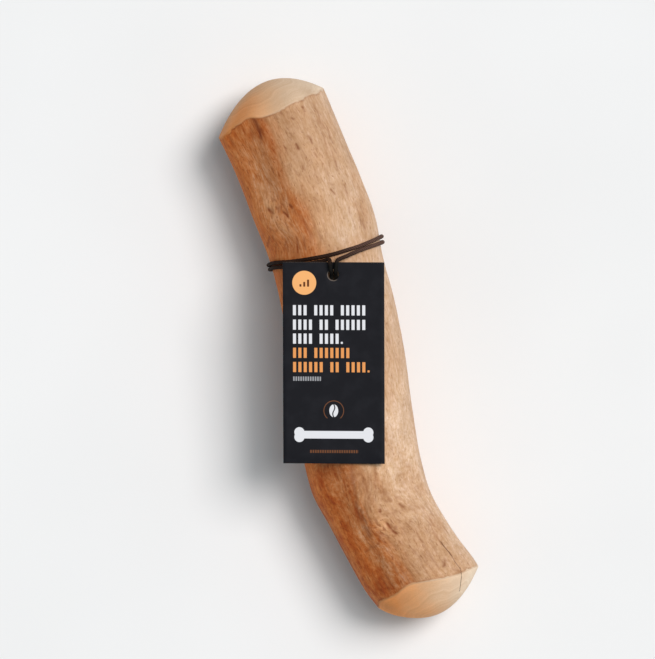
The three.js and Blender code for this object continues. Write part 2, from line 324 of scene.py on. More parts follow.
# %% How the fibres run
FIBRE_WANDER = [
    # seed, how far to the side, width and length of its waves, all in mm
    (11, 1.3, 24, 38), (12, 0.45, 8, 11),
]
KNOTS = [
    # angle, y, spread in mm, how far the fibres are pushed aside in mm, height in mm
    (128, 57.0, 5.0, 1.5, 0.15), (157, 47.0, 5.0, 1.8, 0.2), (97, -71.0, 4.0, 1.5, 0.2),
    (66, -65.5, 3.5, 1.2, 0.12), (57, -92.5, 2.2, 0.8, 0.1), (230, 30.0, 5.0, 1.8, 0.4),
    (320, -20.0, 5.0, 1.8, 0.4), (200, -75.0, 4.0, 1.5, 0.3),
]
SLANTS = [
    # angle, y, spread of the angle, spread along y, how far the fibres step aside per length
    (95, -57, 12, 7, -0.45), (132, 51, 16, 6, 0.6), (45, -66, 20, 9, 0.35), (130, -76, 18, 5, 0.4),
]


def knot_spread(spread):
    """A knot's spread round the branch, in degrees."""
    return np.degrees(spread * MM / MEAN_RADIUS)


def run_of_fibres(angle, y):
    """The angle less the shift: slow and quick noise, and at each knot or slant a share of how far the
    point is from its middle, sideways or along, times its spot."""
    aside = layered_noise(FIBRE_WANDER, angle, y) * MM
    for centre, centre_y, spread, push, _ in KNOTS:
        side = turned(angle, np.radians(centre)) * MEAN_RADIUS / (spread * MM)
        near = spot(angle, y, centre, centre_y, knot_spread(spread), 1.5 * spread)
        aside = aside - push * MM * side * near
    for centre, centre_y, spread, spread_y, lean in SLANTS:
        aside = aside - lean * (y - centre_y * MM) * spot(angle, y, centre, centre_y, spread, spread_y)
    return angle + aside / MEAN_RADIUS


# %% [markdown]
# The marks that make this very stick are placed one by one: each is a line through a few places round and
# along the branch, with its width and how dark it is. Some are pits and scratches, some are shallow
# furrows where sap ran, and some are fine creases round the knots. A darker mark is also deeper.
# Round the knots the wood is crumbly too: there, small dark crumbs are scattered in a soft round place.

# %% Marks placed one by one
MARKS_ABOVE = [
    # places as angle and y, half width in mm, how dark
    ([(109.5, 98.5), (109.5, 96), (110.5, 92.5), (112, 89)], 1.1, 0.7),
    ([(112, 91), (113.5, 87.5)], 0.6, 0.5), ([(121, 93), (121.5, 89)], 1.1, 0.35),
    ([(151, 93), (150, 90)], 1.0, 0.4), ([(160, 93), (158, 90)], 1.2, 0.3),
    ([(79, 82.4), (79, 80.8)], 0.6, 0.85), ([(64, 84), (63.5, 81.5)], 0.65, 0.7),
    ([(57.5, 96), (57, 94)], 0.55, 0.8), ([(72.5, 92.6), (71.5, 92.2)], 0.45, 0.65),
    ([(92, 83.8), (90.5, 82.2)], 0.3, 0.8), ([(38, 84), (38, 81)], 0.7, 0.5),
    ([(62, 62), (60, 59.5)], 0.5, 0.7), ([(60.5, 64), (57, 63.2)], 0.4, 0.45),
    ([(66, 77), (65, 75.5)], 0.45, 0.45), ([(82.5, 73.5), (82, 72.3)], 0.35, 0.5),
    ([(138.5, 62), (137, 60.6), (135.5, 60)], 0.65, 1.0),
    ([(122, 58.8), (119, 57.6), (117.5, 56.2)], 0.6, 0.95), ([(111, 60.8), (109, 59.3)], 0.55, 0.9),
    ([(45, 72), (45.5, 69.5)], 0.5, 0.6), ([(45.5, 62), (44, 58)], 0.5, 0.45),
    ([(39.5, 53), (39, 49.5), (40.5, 44.5)], 0.35, 0.6), ([(37.5, 46), (37, 44.5), (36, 43)], 0.6, 0.5),
    ([(50.5, 53), (50.5, 49), (50, 43.5)], 0.3, 0.5), ([(126, 73), (125, 70.5)], 0.9, 0.3),
    ([(140, 76), (137, 75.3)], 0.45, 0.4), ([(80.5, 98), (80.5, 96)], 0.5, 0.5),
    ([(86.5, 96.5), (86.5, 94)], 0.4, 0.35), ([(45, 89), (45, 86)], 0.7, 0.3),
    ([(48, 84), (47.5, 78)], 0.6, 0.25), ([(127, 85), (125, 83.5)], 0.5, 0.25),
    ([(93, 66.5), (90, 66)], 0.35, 0.3), ([(98, 69), (96, 68)], 0.35, 0.3),
    ([(91, 73), (90, 70)], 0.4, 0.3), ([(80, 60), (79, 58.5)], 0.6, 0.35),
    ([(45, 62), (45.5, 57)], 0.5, 0.3), ([(100, 98), (99.5, 95)], 0.5, 0.3),
    ([(152, 51), (156, 49.5), (163, 48)], 0.7, 0.7),
    # The next mark is painted shade: the wood in the narrow gap under and between the cord's strands at its
    # left end; it is also pressed a little into the relief.
    ([(176, 40.4), (160, 39.8), (151, 39.5), (144, 39.1)], 1.1, 1.0),
    ([(170, 52), (158, 53), (150, 51.5), (140, 49), (131, 46.5)], 0.5, 0.22),
    ([(131, 48), (134, 46), (137.5, 44)], 0.6, 0.6),
    ([(115.5, 47), (118, 44.5), (120.5, 42)], 0.5, 0.6),
    ([(108, 47), (109.5, 44.5), (111, 42)], 0.5, 0.5),
    ([(123, 54.5), (122.5, 53), (122, 51.2)], 0.4, 0.5),
    ([(131, 53), (124, 50.5), (121, 47)], 0.4, 0.2),
    ([(121.5, 61), (125, 60.5), (128, 59.5)], 0.6, 0.45),
    ([(110, 58), (104, 55), (101, 52), (100, 46)], 1.1, 0.3),
    ([(93, 53), (92, 49), (91.5, 44)], 0.5, 0.4),
    ([(101.5, 52.5), (100.5, 48.5), (102, 44)], 0.5, 0.45), ([(84, 52), (83.5, 46)], 0.4, 0.25),
    ([(41, 95), (42, 90.5), (42, 85.5)], 0.5, 0.35), ([(37, 86), (37, 82.5), (37.5, 79)], 0.45, 0.45),
    ([(45.5, 76), (45.5, 72.5), (46, 68)], 0.5, 0.35), ([(13, 76), (16, 70)], 0.6, 0.3),
    ([(31, 62), (32.5, 57)], 0.5, 0.35), ([(76.5, 79.5), (76.5, 75.5)], 0.4, 0.3),
    ([(72.5, 71.5), (72, 66.5)], 0.4, 0.3), ([(92, 67), (92, 62.5)], 0.5, 0.25),
    ([(59.5, 70), (59.5, 65)], 0.4, 0.3), ([(31.5, 53), (33.5, 48)], 0.45, 0.3),
]
MARKS_BELOW = [
    ([(103, -44), (107, -52), (110, -57), (113, -60), (116, -66)], 1.2, 0.5),
    ([(110, -62.5), (111.5, -65), (112.5, -67.8)], 0.6, 0.55), ([(117, -70.5), (115.5, -73)], 1.2, 0.7),
    ([(86, -50), (92, -56), (97, -61)], 0.4, 0.3), ([(90, -50.5), (95, -56), (100, -62)], 0.4, 0.32),
    ([(95, -50), (99, -56), (103, -63)], 0.45, 0.36),
    ([(101, -52), (104, -58), (106, -66), (107, -69)], 0.45, 0.4), ([(84, -53), (86, -56)], 0.35, 0.4),
    ([(79, -48), (83, -53)], 0.4, 0.3), ([(70, -60), (55, -60.2), (40, -60.5), (25, -61)], 0.7, 0.2),
    ([(100, -67.5), (88, -66.6), (76, -67), (64, -67.5), (55, -67)], 0.7, 0.28),
    ([(62, -68.3), (45, -68.5), (30, -68)], 0.7, 0.22),
    ([(45, -62), (32, -62.5), (22, -61.5)], 0.6, 0.2), ([(58, -57), (45, -57.5), (36, -56)], 0.7, 0.18),
    ([(60, -53.5), (48, -54), (35, -53)], 0.6, 0.18), ([(78, -58.5), (76, -60)], 1.3, 0.35),
    ([(69, -61), (69, -63)], 0.4, 0.5), ([(46, -51), (38, -51.5)], 1.0, 0.25),
    ([(89.5, -63.8), (92, -65.3)], 0.5, 0.9), ([(67, -64.5), (65, -66)], 0.9, 0.65),
    ([(98.5, -60), (101, -64)], 0.5, 0.5), ([(104.5, -72.2), (101, -74.5), (99, -75)], 0.5, 0.6),
    ([(91, -70.5), (90, -72), (88, -74.6)], 0.8, 0.95), ([(98, -74.3), (96.5, -75)], 0.45, 0.65),
    ([(104, -76.3), (102, -77.4)], 0.45, 0.65), ([(105, -73.5), (104, -75.5)], 0.4, 0.45),
    ([(97, -76.5), (94.5, -80)], 0.9, 0.4), ([(65.5, -71.8), (64, -72.4)], 0.45, 0.6),
    ([(67, -80), (65.5, -81.3)], 0.6, 0.5), ([(72, -72), (70, -74)], 0.45, 0.3),
    ([(104, -74.5), (107, -76.3), (116, -77.5)], 0.5, 0.6),
    ([(118, -77.5), (125, -78), (134, -78.5)], 0.7, 0.45), ([(42, -73), (40, -77)], 0.8, 0.4),
    ([(34, -69), (32, -73)], 0.5, 0.35), ([(46, -70), (45, -73)], 0.5, 0.3),
    ([(96, -85), (95.5, -96)], 0.6, 0.25), ([(90.5, -84), (90.5, -96)], 0.55, 0.3),
    ([(80.5, -83), (80, -89), (81, -96)], 0.5, 0.32), ([(74, -86), (74, -97)], 0.5, 0.25),
    ([(66, -77), (67.5, -84), (67.5, -94)], 0.5, 0.35), ([(103, -86), (103, -95)], 0.6, 0.3),
    ([(109, -85), (108.5, -95)], 0.5, 0.3), ([(58, -84), (57, -88)], 0.6, 0.3),
    ([(61, -93.3), (57.5, -92.8), (53, -91.3)], 0.6, 0.8), ([(60, -92), (57, -91.2)], 0.5, 0.5),
    ([(143, -49.5), (140, -52)], 0.6, 0.45), ([(147, -53), (143, -57)], 0.6, 0.35),
    ([(135, -52), (133, -57)], 0.5, 0.3), ([(46, -79), (45, -83), (44, -87), (42.5, -90)], 0.5, 0.4),
    ([(52, -95), (45, -97.3)], 0.7, 0.3), ([(126, -90), (124, -96)], 0.7, 0.35),
    ([(144, -90), (142, -96)], 1.0, 0.4), ([(133, -90), (132, -96)], 0.7, 0.35),
]
CRACK = [
    # angle, y
    (44.5, -83.5), (43.4, -86.5), (42, -89), (42.7, -93), (42.2, -96.5), (45, -98.8),
]
CRACK_WIDTH, CRACK_DEPTH = 0.24, 0.3  # half its width and its depth, in mm
CRUMBLY = [
    # angle, y, spread of the angle, spread along y, how dark its crumbs are
    (97, -72, 14, 5, 0.65), (72, -63, 14, 5, 0.45), (46, -72, 10, 7, 0.4), (35, -60, 14, 5, 0.25),
    (128, 58, 12, 7, 0.6), (140, 50, 12, 5, 0.5), (110, -52, 10, 6, 0.4), (45, 48, 8, 7, 0.2),
]
print(f"{len(MARKS_ABOVE) + len(MARKS_BELOW)} marks and {len(CRUMBLY)} crumbly places set by hand")


def distance_to_line(u, v, line):
    """Distance from each place (u, v) to the nearest stretch of a line: each place is dropped square on to
    every stretch, but not past its ends."""
    nearest = np.full(u.shape, np.inf)
    for start, stop in zip(line[:-1], line[1:]):
        along = stop - start
        share = np.clip(((u - start[0]) * along[0] + (v - start[1]) * along[1]) / (along @ along), 0, 1)
        away = np.hypot(u - start[0] - share * along[0], v - start[1] - share * along[1])
        nearest = np.minimum(nearest, away)
    return nearest


def line_mask(angle, y, places, half_width):
    """1 on a line through the places and 0 beyond its half width: e to the minus squared distance to it,
    with the angle turned to a length on the branch's mean radius."""
    line = np.array(places, float)
    line = np.stack([np.radians(line[:, 0]) * MEAN_RADIUS, line[:, 1] * MM], axis=-1)
    u = turned(angle, np.radians(places[0][0])) * MEAN_RADIUS + line[0, 0]
    return np.exp(-((distance_to_line(u, y, line) / (half_width * MM)) ** 2))


# %% [markdown]
# The colour of the wood turns with the angle too: pale on the right, tan on top, and warm orange brown on
# the left, which lies away from the light; that orange brown is partly the wood's own colour and partly
# painted shade. The step between tan and brown follows the shoulder, so a line of places says where that
# is. Softer spots are lighter, darker or warmer than what is round them; two of them are painted shade,
# the tag's shadow below its lower edge and a dark band along the lower left edge.

# %% Warmth and tone placed one by one
# Towards the left, away from the light, this warmth is partly painted shade.
WARMTH_ROUND = [
    # angle, warmth from 0, pale, to 1, orange brown
    (-40, 0.25), (0, 0.04), (15, 0.0), (40, 0.12), (70, 0.22), (86, 0.32), (97, 0.47), (106, 0.6),
    (116, 0.69), (130, 0.72), (146, 0.86), (158, 1.0), (180, 1.0), (215, 0.8), (260, 0.5),
]
SHOULDER_LINE = [
    # y, angle of the step between tan and brown
    (-110, 103), (-90, 103), (-76, 105), (-68, 111), (-60, 108), (-50, 103), (-30, 101), (30, 98),
    (50, 94), (57, 97), (63, 102), (70, 106), (78, 105), (88, 103), (110, 104),
]
SPOTS = [
    # angle, y, spread of the angle, spread along y, how much lighter, how much warmer
    # The third spot on the next line is painted shadow: the tag's shadow on the wood just below its lower
    # edge.
    (51, -33, 9, 6, 0.18, -0.16), (40, -43, 12, 4, 0.08, -0.05), (127, -43.5, 17, 3.5, -0.34, 0.04),
    (142, -47, 12, 4, -0.08, 0.0), (90, -71, 7, 3, 0.08, 0.0), (68, -62, 8, 3, 0.1, 0.0),
    (44, -59, 7, 3, 0.12, 0.0), (35, -66, 6, 3, 0.08, 0.0), (155, 53, 6, 3, 0.1, 0.0),
    (46, 46, 7, 4, 0.06, -0.06), (65, 78, 6, 3, 0.08, 0.0), (95, -72, 4, 4, 0.08, 0.0),
    (125, -70, 5, 3, 0.05, 0.08), (120, -80, 8, 4, -0.08, 0.12), (113, -73, 5, 6, 0.02, 0.08),
    (86, -71, 6, 4, 0.08, 0.06), (145, -70, 6, 3, 0.08, 0.0), (75, -50, 6, 3, 0.1, 0.0),
    (120, -51, 8, 3, 0.08, 0.0), (54, -62, 6, 5, -0.08, 0.0), (35, -54, 12, 2.5, -0.05, 0.08),
    (33, -82, 8, 2.5, 0.04, -0.1), (15, -78, 6, 5, 0.04, -0.1), (113, 60, 6, 4, 0.09, -0.02),
    (115, 48, 6, 3, 0.15, -0.04), (124, 53, 5, 2.5, 0.1, -0.03), (145, 43, 6, 3, 0.14, 0.0),
    (95, 76, 6, 4, -0.1, 0.0), (77, 80, 7, 4, -0.06, 0.06), (56, 43, 6, 3, -0.08, 0.0),
    (85, 43, 6, 3, -0.1, 0.0), (145, 66, 5, 4, 0.1, 0.0), (134, 73, 5, 3, 0.1, 0.0),
    (136, 62, 11, 5, 0.16, -0.1), (128, 46, 16, 3.5, -0.12, 0.0), (135, 94, 24, 4, -0.08, 0.1),
    (143, 68, 12, 11, 0.15, -0.16), (130, 52, 10, 4, 0.26, -0.1), (104, 74, 5, 9, -0.08, 0.08),
    (45, 60, 9, 4, -0.12, 0.1), (18, 72, 9, 14, -0.06, 0.06), (73, 93, 9, 3, -0.1, 0.05),
    (123, -57, 7, 11, 0.16, 0.04), (135, -80, 8, 9, -0.06, 0.12), (93, -64, 4, 4, -0.04, 0.12),
    (81, -60, 7, 6, -0.1, 0.08), (66, -66, 6, 2.5, -0.08, 0.1), (30, -76, 8, 4, -0.12, 0.1),
    (70, -52, 9, 3, 0.16, -0.08), (38, -80, 9, 5, 0.1, 0.0), (95, -72, 4, 3, 0.14, 0.0),
    (157, 86, 6, 4, 0.15, 0.0), (115, 90, 5, 4, 0.12, 0.0),
    (122, 60, 6, 4, -0.12, 0.04), (106, 53, 7, 4, -0.13, 0.02), (147, 91, 6, 4, -0.1, 0.0),
    (157, 75, 6, 5, -0.12, 0.0), (125, 92, 6, 3, -0.1, 0.0), (105, 90, 5, 4, -0.1, 0.0),
    (147, 51, 6, 3, -0.12, 0.0), (130, 44, 8, 3, -0.1, 0.0), (35, 58, 6, 3, 0.08, -0.1),
    (34, 47, 6, 3, -0.06, 0.03), (70, 43, 9, 3, 0.05, -0.12), (87, 48, 7, 4, 0.06, -0.15),
    (146, -59, 6, 6, -0.13, 0.0), (136, -68, 6, 5, -0.2, 0.0), (146, -79, 6, 5, -0.14, 0.0),
    (105, -70, 4, 3, 0.0, 0.12), (65, -70, 5, 2, 0.14, -0.04), (30, -62, 9, 3, -0.05, 0.08),
    (25, -78, 7, 3, -0.05, 0.08), (44, -80, 6, 3, -0.06, 0.1), (15, -82, 6, 5, 0.04, -0.1),
    (86, -51, 5, 3, -0.05, 0.1), (25, -57, 7, 2, 0.1, -0.04), (58, -61, 8, 3, 0.14, -0.1),
    (105, -57, 4, 3, 0.16, -0.08), (107, 91, 6, 7, -0.12, 0.1), (104, 59, 7, 4, -0.1, 0.05),
    (122, 76, 9, 12, 0.06, 0.0), (62, 52, 16, 9, 0.06, -0.08), (55, 64, 12, 5, 0.03, -0.04),
    (37, 47, 5, 5, -0.1, 0.08), (45, 88, 6, 8, -0.05, 0.0), (97, 70, 6, 7, 0.05, -0.06),
    (72, 88, 14, 6, -0.03, 0.0), (138, -62, 14, 8, -0.12, 0.1), (115, -62, 6, 6, -0.1, 0.15),
    (127, -71, 8, 3.5, 0.28, -0.15), (100, -70.5, 4, 2, 0.22, 0.0), (88, -63, 7, 3, 0.1, -0.12),
    (96, -54, 6, 5, -0.06, 0.0), (119, -85, 7, 3.5, 0.2, -0.15), (138, -94, 17, 4.5, -0.2, 0.1),
    (108, -93, 8, 4, -0.1, 0.05), (80, -73, 12, 4, -0.08, 0.05), (67, -86, 14, 8, -0.06, 0.03),
    (45, -91, 7, 7, -0.08, 0.05), (28, -50, 20, 5, 0.1, -0.05), (62, -50, 10, 4, 0.04, -0.05),
    (75, -55, 6, 3, -0.06, 0.04), (60, 5, 25, 25, 0.05, -0.05), (145, -75, 9, 12, -0.08, 0.0),
    (65, 78, 30, 22, -0.06, 0.0), (123, 72, 10, 22, 0.08, 0.0), (123, -80, 9, 20, 0.06, 0.0),
    # The second spot on the next line is painted shade: a dark band along the lower left edge, where the
    # wood turns away from the light.
    (106, -57, 5, 8, 0.08, 0.0), (176, -72, 9, 24, -0.32, 0.0), (160, -50, 4, 4, 0.14, 0.0),
    (157, 90, 5, 4, 0.1, 0.0), (157, -73, 5, 5, 0.11, 0.03), (8, 92, 6, 5, -0.12, 0.04),
    (8, -53, 6, 6, -0.12, 0.06), (30, -82, 6, 3, -0.11, 0.02), (22, 70, 5, 12, 0.0, 0.05),
    (30, 50, 5, 4, -0.02, 0.08), (85, -48, 2.2, 3.5, 0.13, -0.06), (90.5, -54, 2.2, 4, 0.1, -0.05),
    (75.5, -47, 2.2, 4, 0.12, -0.05), (65, -48, 3, 4, 0.07, -0.04), (80.5, -50, 1.8, 4, -0.13, 0.06),
    (94.5, -50, 2, 4, -0.12, 0.06), (70, -49, 2, 4, -0.08, 0.04),
]
print(f"{len(SPOTS)} soft spots set by hand")

# %% Masks of warmth and tone
WARMTH_NOISE = [
    # seed, strength, width and length in mm
    (41, 0.05, 5, 12), (42, 0.03, 2.2, 6),
]
TONE_NOISE = [(43, 0.05, 9, 16), (44, 0.05, 3.6, 6), (45, 0.04, 1.6, 3.0)]
SHOULDER, SHOULDER_SPREAD = 103, 38  # the step's usual angle, and how far round the line bends colours


def wood_colour_masks(angle, y, bent):
    """Warmth: the value round the branch, read at the angle less the shoulder's own, plus noise. Tone: how
    much lighter or darker than usual, the sum of the spots and of noise at three sizes."""
    line = np.array(SHOULDER_LINE, float)
    shift = np.interp(y / MM, line[:, 0], line[:, 1]) - SHOULDER
    from_shoulder = turned(angle, np.radians(SHOULDER)) / np.radians(SHOULDER_SPREAD)
    degrees = np.degrees(angle) - shift * np.exp(-(from_shoulder**2))
    ramp = np.array(WARMTH_ROUND, float)
    warmth = np.interp(degrees, ramp[:, 0], ramp[:, 1], period=360)
    warmth = warmth + layered_noise(WARMTH_NOISE, bent, y)
    tone = layered_noise(TONE_NOISE, bent, y)
    for centre, centre_y, spread, spread_y, lighter, warmer in SPOTS:
        mask = spot(angle, y, centre, centre_y, spread, spread_y)
        tone = tone + lighter * mask
        warmth = warmth + warmer * mask
    return np.clip(warmth, 0, 1), tone


# %% How dark and how deep the marks are
MARK_WAVER = 0.55 * MM  # how far noise moves a mark's line
MARK_DEPTH = 0.25  # of a mark's half width
MARK_STRENGTH, MARK_UNEVEN = 0.95, 0.55  # on average, and how far noise changes it
CRUMB_NOISE = (0.25, 0.6)  # crumbs begin and are complete at these values of their noise
CRUMB_DEPTH = 0.15  # in mm, where the crumbs are darkest


def marks(angle, y):
    """How dark the placed marks make each point, and how deep. Noise shifts each line from side to side and
    along, and makes it stronger and weaker on the way, so that none looks ruled. The crumbs are where
    finer noise is high, times the spot of their place."""
    shifted = angle + MARK_WAVER / MEAN_RADIUS * grain_noise(51, angle, y, 2.2 * MM, 2.8 * MM)
    along = y + MARK_WAVER * grain_noise(52, angle, y, 2.4 * MM, 2.4 * MM)
    uneven = MARK_UNEVEN * grain_noise(53, angle, y, 1.1 * MM, 1.6 * MM)
    strength = np.clip(MARK_STRENGTH + uneven, 0, 1)
    crumbs = smooth_step(*CRUMB_NOISE, grain_noise(55, shifted, along, 0.9 * MM, 1.2 * MM))
    dark = np.zeros(angle.shape)
    for centre, centre_y, spread, spread_y, darkest in CRUMBLY:
        dark = np.maximum(dark, darkest * crumbs * spot(angle, y, centre, centre_y, spread, spread_y))
    deep = CRUMB_DEPTH * dark
    for places, half_width, darkest in MARKS_ABOVE + MARKS_BELOW:
        mask = line_mask(shifted, along, places, half_width) * strength * darkest
        dark = np.maximum(dark, mask)
        deep = deep + MARK_DEPTH * half_width * mask
    return dark, deep


# %% The whole relief
LUMPS = [
    # seed, height, width and length, all in mm
    (21, 0.13, 11, 22),
]
FIBRE_RIDGES = [(22, 0.07, 3.6, 9), (23, 0.04, 1.7, 4.5), (24, 0.03, 0.9, 3.0)]
LEFT_WARMTH = (0.4, 0.7)  # the smoother left side begins and is complete at these warmths
LEFT_SMOOTHER = 0.5  # how much lower the three finer noises are there
KNOT_TOP = 0.8  # share of a knot's spread over which it stands up
ROUGH, ROUGHER_LEFT, ROUGHER_BELOW = 1.1, 0.4, 0.25  # how strongly the material's streaks show
ROUGHER_BY = -60 * MM  # they grow stronger from the stick's middle down to here


def wood_relief(angle, y):
    """Height of the wood over the branch with its masks: lumps, ridges and fibres are noise at four
    sizes, drawn out along the run of the fibres. The three finer ones are half as high where the wood is
    warm, on its smoother left side, and the marks lie below them all."""
    bent = run_of_fibres(angle, y)
    warmth, tone = wood_colour_masks(angle, y, bent)
    left = smooth_step(*LEFT_WARMTH, warmth)
    ridges = layered_noise(FIBRE_RIDGES, bent, y) * (1 - LEFT_SMOOTHER * left)
    height = ridges + layered_noise(LUMPS, bent, y)
    marks_and_shade, deep = marks(angle, y)
    height = height - deep
    for centre, centre_y, spread, _, rise in KNOTS:
        sideways, along = KNOT_TOP * knot_spread(spread), KNOT_TOP * spread
        height = height + rise * spot(angle, y, centre, centre_y, sideways, along)
    split = line_mask(angle, y, CRACK, CRACK_WIDTH)
    height = height - CRACK_DEPTH * split
    rough = ROUGH + ROUGHER_LEFT * left + ROUGHER_BELOW * smooth_step(0, ROUGHER_BY, y)
    masks = {"marks_and_shade": marks_and_shade, "split": split, "warmth": warmth, "tone": tone, "rough": rough}
    return height * MM, masks, bent


# %% [markdown]
# ## Building the stick's surface
#
# The surface is one grid: rings round the branch from rim to rim, then smaller and smaller rings up each
# dome to its middle, where a fan of triangles closes it. Points crowd together where the eye looks: on
# the upper side, and towards the two ends, whose rims the sanding rounded only slightly. The sanded
# colour ends in a ragged border just past each rim, where fibres tore, with a thin line of painted shade
# beyond it, under the rim's edge.
# Nothing reaches below the table or out of the box of the solids.

# %% Helpers that turn arrays into a mesh


def ring_quads(rows, columns, closed=False):
    """Faces of a grid whose columns close into rings, in the order that points them outwards. Where it is
    closed, faces also join the last row to the first."""
    row, column = np.meshgrid(np.arange(rows if closed else rows - 1), np.arange(columns), indexing="ij")
    next_row, next_column = (row + 1) % rows, (column + 1) % columns
    corners = [(row, column), (next_row, column), (next_row, next_column), (row, next_column)]
    return np.stack([r * columns + c for r, c in corners], axis=-1).reshape(-1, 4).tolist()


def tube_faces(rows, columns):
    """Faces of a tube of rings, with a fan of triangles at each end. The two points after those of the
    rings are the fans' middles."""
    step = np.arange(columns)
    following = (step + 1) % columns
    last_ring = (rows - 1) * columns
    first_pole = np.full(columns, rows * columns)
    first_fan = np.stack([first_pole, step, following], axis=-1)
    last_fan = np.stack([first_pole + 1, last_ring + following, last_ring + step], axis=-1)
    return ring_quads(rows, columns) + first_fan.tolist() + last_fan.tolist()


def make_piece(name, points, faces, attributes):
    """A smooth-shaded mesh object at the origin, with the given point attributes. A point that would lie
    out of the box of the solids is moved on to its wall."""
    points = np.clip(points, *cad_box)
    mesh = bpy.data.meshes.new(name)
    mesh.from_pydata(points.tolist(), [], faces)
    mesh.polygons.foreach_set("use_smooth", np.ones(len(mesh.polygons), bool))
    for label, values in attributes.items():
        vector = values.ndim == 2
        stored = mesh.attributes.new(label, "FLOAT_VECTOR" if vector else "FLOAT", "POINT")
        stored.data.foreach_set("vector" if vector else "value", values.astype(np.float32).ravel())
    mesh.update()
    made = bpy.data.objects.new(name, mesh)
    bpy.context.scene.collection.objects.link(made)
    print(f"{name}: {len(points)} points, {sum(len(face) - 2 for face in faces)} triangles")
    return made


# %% Where the rings and their points lie
AROUND = 320
ALONG = 270
UPPER_CROWDING = 0.35
END_CROWDING = 0.4
DOME_RINGS = 18
RIM_GAPS = np.array([0.0, 0.25, 0.6, 1.1, 1.7]) * MM  # rows crowd at the rims
FIRST_STEP = 0.6 * MM  # from the last of these rows to the next


def ring_angles():
    """Angles round a ring: a steady turn plus a share of its cosine, which crowds them at the top."""
    steady = 2 * np.pi * np.arange(AROUND) / AROUND
    return steady + UPPER_CROWDING * np.cos(steady)


def ring_rows(low, high):
    """Places along the branch for each angle: the rim gaps, and between them an even share less a part of
    its sine, which crowds the rows towards both ends."""
    even = np.linspace(0, 1, ALONG - 2 * len(RIM_GAPS))[:, None]
    share = even - END_CROWDING * np.sin(2 * np.pi * even) / (2 * np.pi)
    inset = RIM_GAPS[-1] + FIRST_STEP
    first, last = low + inset, high - inset
    return np.concatenate([
        low + RIM_GAPS[:, None],
        first * (1 - share) + last * share,
        high - RIM_GAPS[::-1, None],
    ])


# %% [markdown]
# On the domes, warmth runs from pale on the right to orange on the left, partly the wood's own colour and
# partly painted shade on the side away from the light, and the crack goes on from the rim towards the
# pith. The dome at the lower end is the lighter one: painted light, as if more light fell on it.

# %% The domes' masks
# The warmth towards the domes' left is partly painted shade, and the lower dome's higher tone is painted
# light.
DOME_RIGHT, DOME_LEFT = 19 * MM, -20 * MM
DOME_TONE = {"upper": -0.01, "lower": 0.26}
DOME_WARMER = {"upper": -0.04, "lower": 0.13}
DOME_SPOTS = [
    # end, x, z, spread, how much lighter, how much warmer
    ("upper", -15, 26, 7, 0.02, -0.24), ("upper", -11, 35, 7, 0.0, 0.18),
    ("upper", 17, 36, 4, -0.25, 0.15), ("upper", -17, 31, 3, 0.12, 0.0),
    ("upper", -15, 30, 5, 0.03, 0.12), ("lower", -18, 28, 4, -0.06, 0.15),
    ("lower", -9, 31, 4, 0.1, -0.05), ("lower", 1, 26, 6, 0.05, 0.08),
    ("lower", -17, 30, 5, -0.2, 0.3), ("lower", 14, 28, 7, 0.08, -0.06),
    ("lower", -9, 36, 5, -0.16, 0.0), ("lower", 4, 35, 5, 0.05, -0.08),
    ("lower", 17, 36, 3, -0.12, 0.1), ("lower", 17, 26, 4, 0.08, -0.08),
    ("upper", -17, 36, 4, -0.1, 0.0),
]
DOME_CRACK = MM * np.array([(15.7, 34.6), (14.9, 33.0), (13.6, 29.8), (12.9, 28.0)])  # x, z


def dome_masks(end, points):
    """Warmth is how far left the point lies; split is e to the minus squared distance to the crack's line,
    counted in its half width."""
    x, z = points[..., 0], points[..., 2]
    warmth = np.clip((DOME_RIGHT - x) / (DOME_RIGHT - DOME_LEFT) + DOME_WARMER[end], 0, 1)
    split = 0 * x
    if end == "lower":
        split = np.exp(-((distance_to_line(x, z, DOME_CRACK) / (CRACK_WIDTH * MM)) ** 2))
    tone = 0 * x + DOME_TONE[end]
    for where, centre, centre_z, spread, lighter, warmer in DOME_SPOTS:
        if where == end:
            mask = np.exp(-((x / MM - centre) ** 2 + (z / MM - centre_z) ** 2) / spread**2)
            tone = tone + lighter * mask
            warmth = warmth + warmer * mask
    warmth = np.clip(warmth, 0, 1)
    return {"marks_and_shade": 0 * x, "split": split, "warmth": warmth, "tone": tone, "rough": 0 * x + 1}


# %% One dome's surface
DOME_SHARES = np.concatenate([[0.988, 0.97], np.linspace(0.94, 0.06, DOME_RINGS - 2)])[:, None]
RIM_BAND = 2 * MM
RIM_BAND_LIGHTER = 0.1


def dome_surface(end, rim):
    """One dome's rings, each the rim drawn towards the dome's middle by a share, with their masks and the
    place that their patterns are read at. A band along the rim is paler: e to the minus squared
    distance to the rim, counted in the band's width."""
    pole = dome_middle(end)
    x = pole[0] + (rim[:, 0] - pole[0]) * DOME_SHARES
    z = pole[2] + (rim[:, 2] - pole[2]) * DOME_SHARES
    points = on_dome(end, x, z)
    masks = dome_masks(end, points)
    rim_band = np.exp(-(((1 - DOME_SHARES) * MEAN_RADIUS / RIM_BAND) ** 2))
    masks["tone"] = masks["tone"] + RIM_BAND_LIGHTER * rim_band
    masks["sanded"] = np.ones(x.shape)
    return points, masks, points - pole * (1, 0, 1)


# %% The stick's surface
RAGGED = [
    # seed, how far past the rim, width of a tooth, both in mm
    (56, 0.8, 2.6), (57, 0.3, 1.1),
]
RAGGED_LENGTH = 30 * MM  # far more than a tooth is long, so that each keeps its width
BORDER = 0.4 * MM  # over which the sanded colour ends and the rim's rounding fades
RIM_ROUNDING = 0.08 * MM
# The thin dark line past the border is painted shade under the rim's edge.
RIM_SHADE_PAST, RIM_SHADE_WIDTH = 0.3 * MM, 0.4 * MM  # the dark line lies this far past the border
RIM_SHADE_DARK, RIM_SHADE_UNEVEN = 0.45, 0.3  # on average, and how far noise changes it


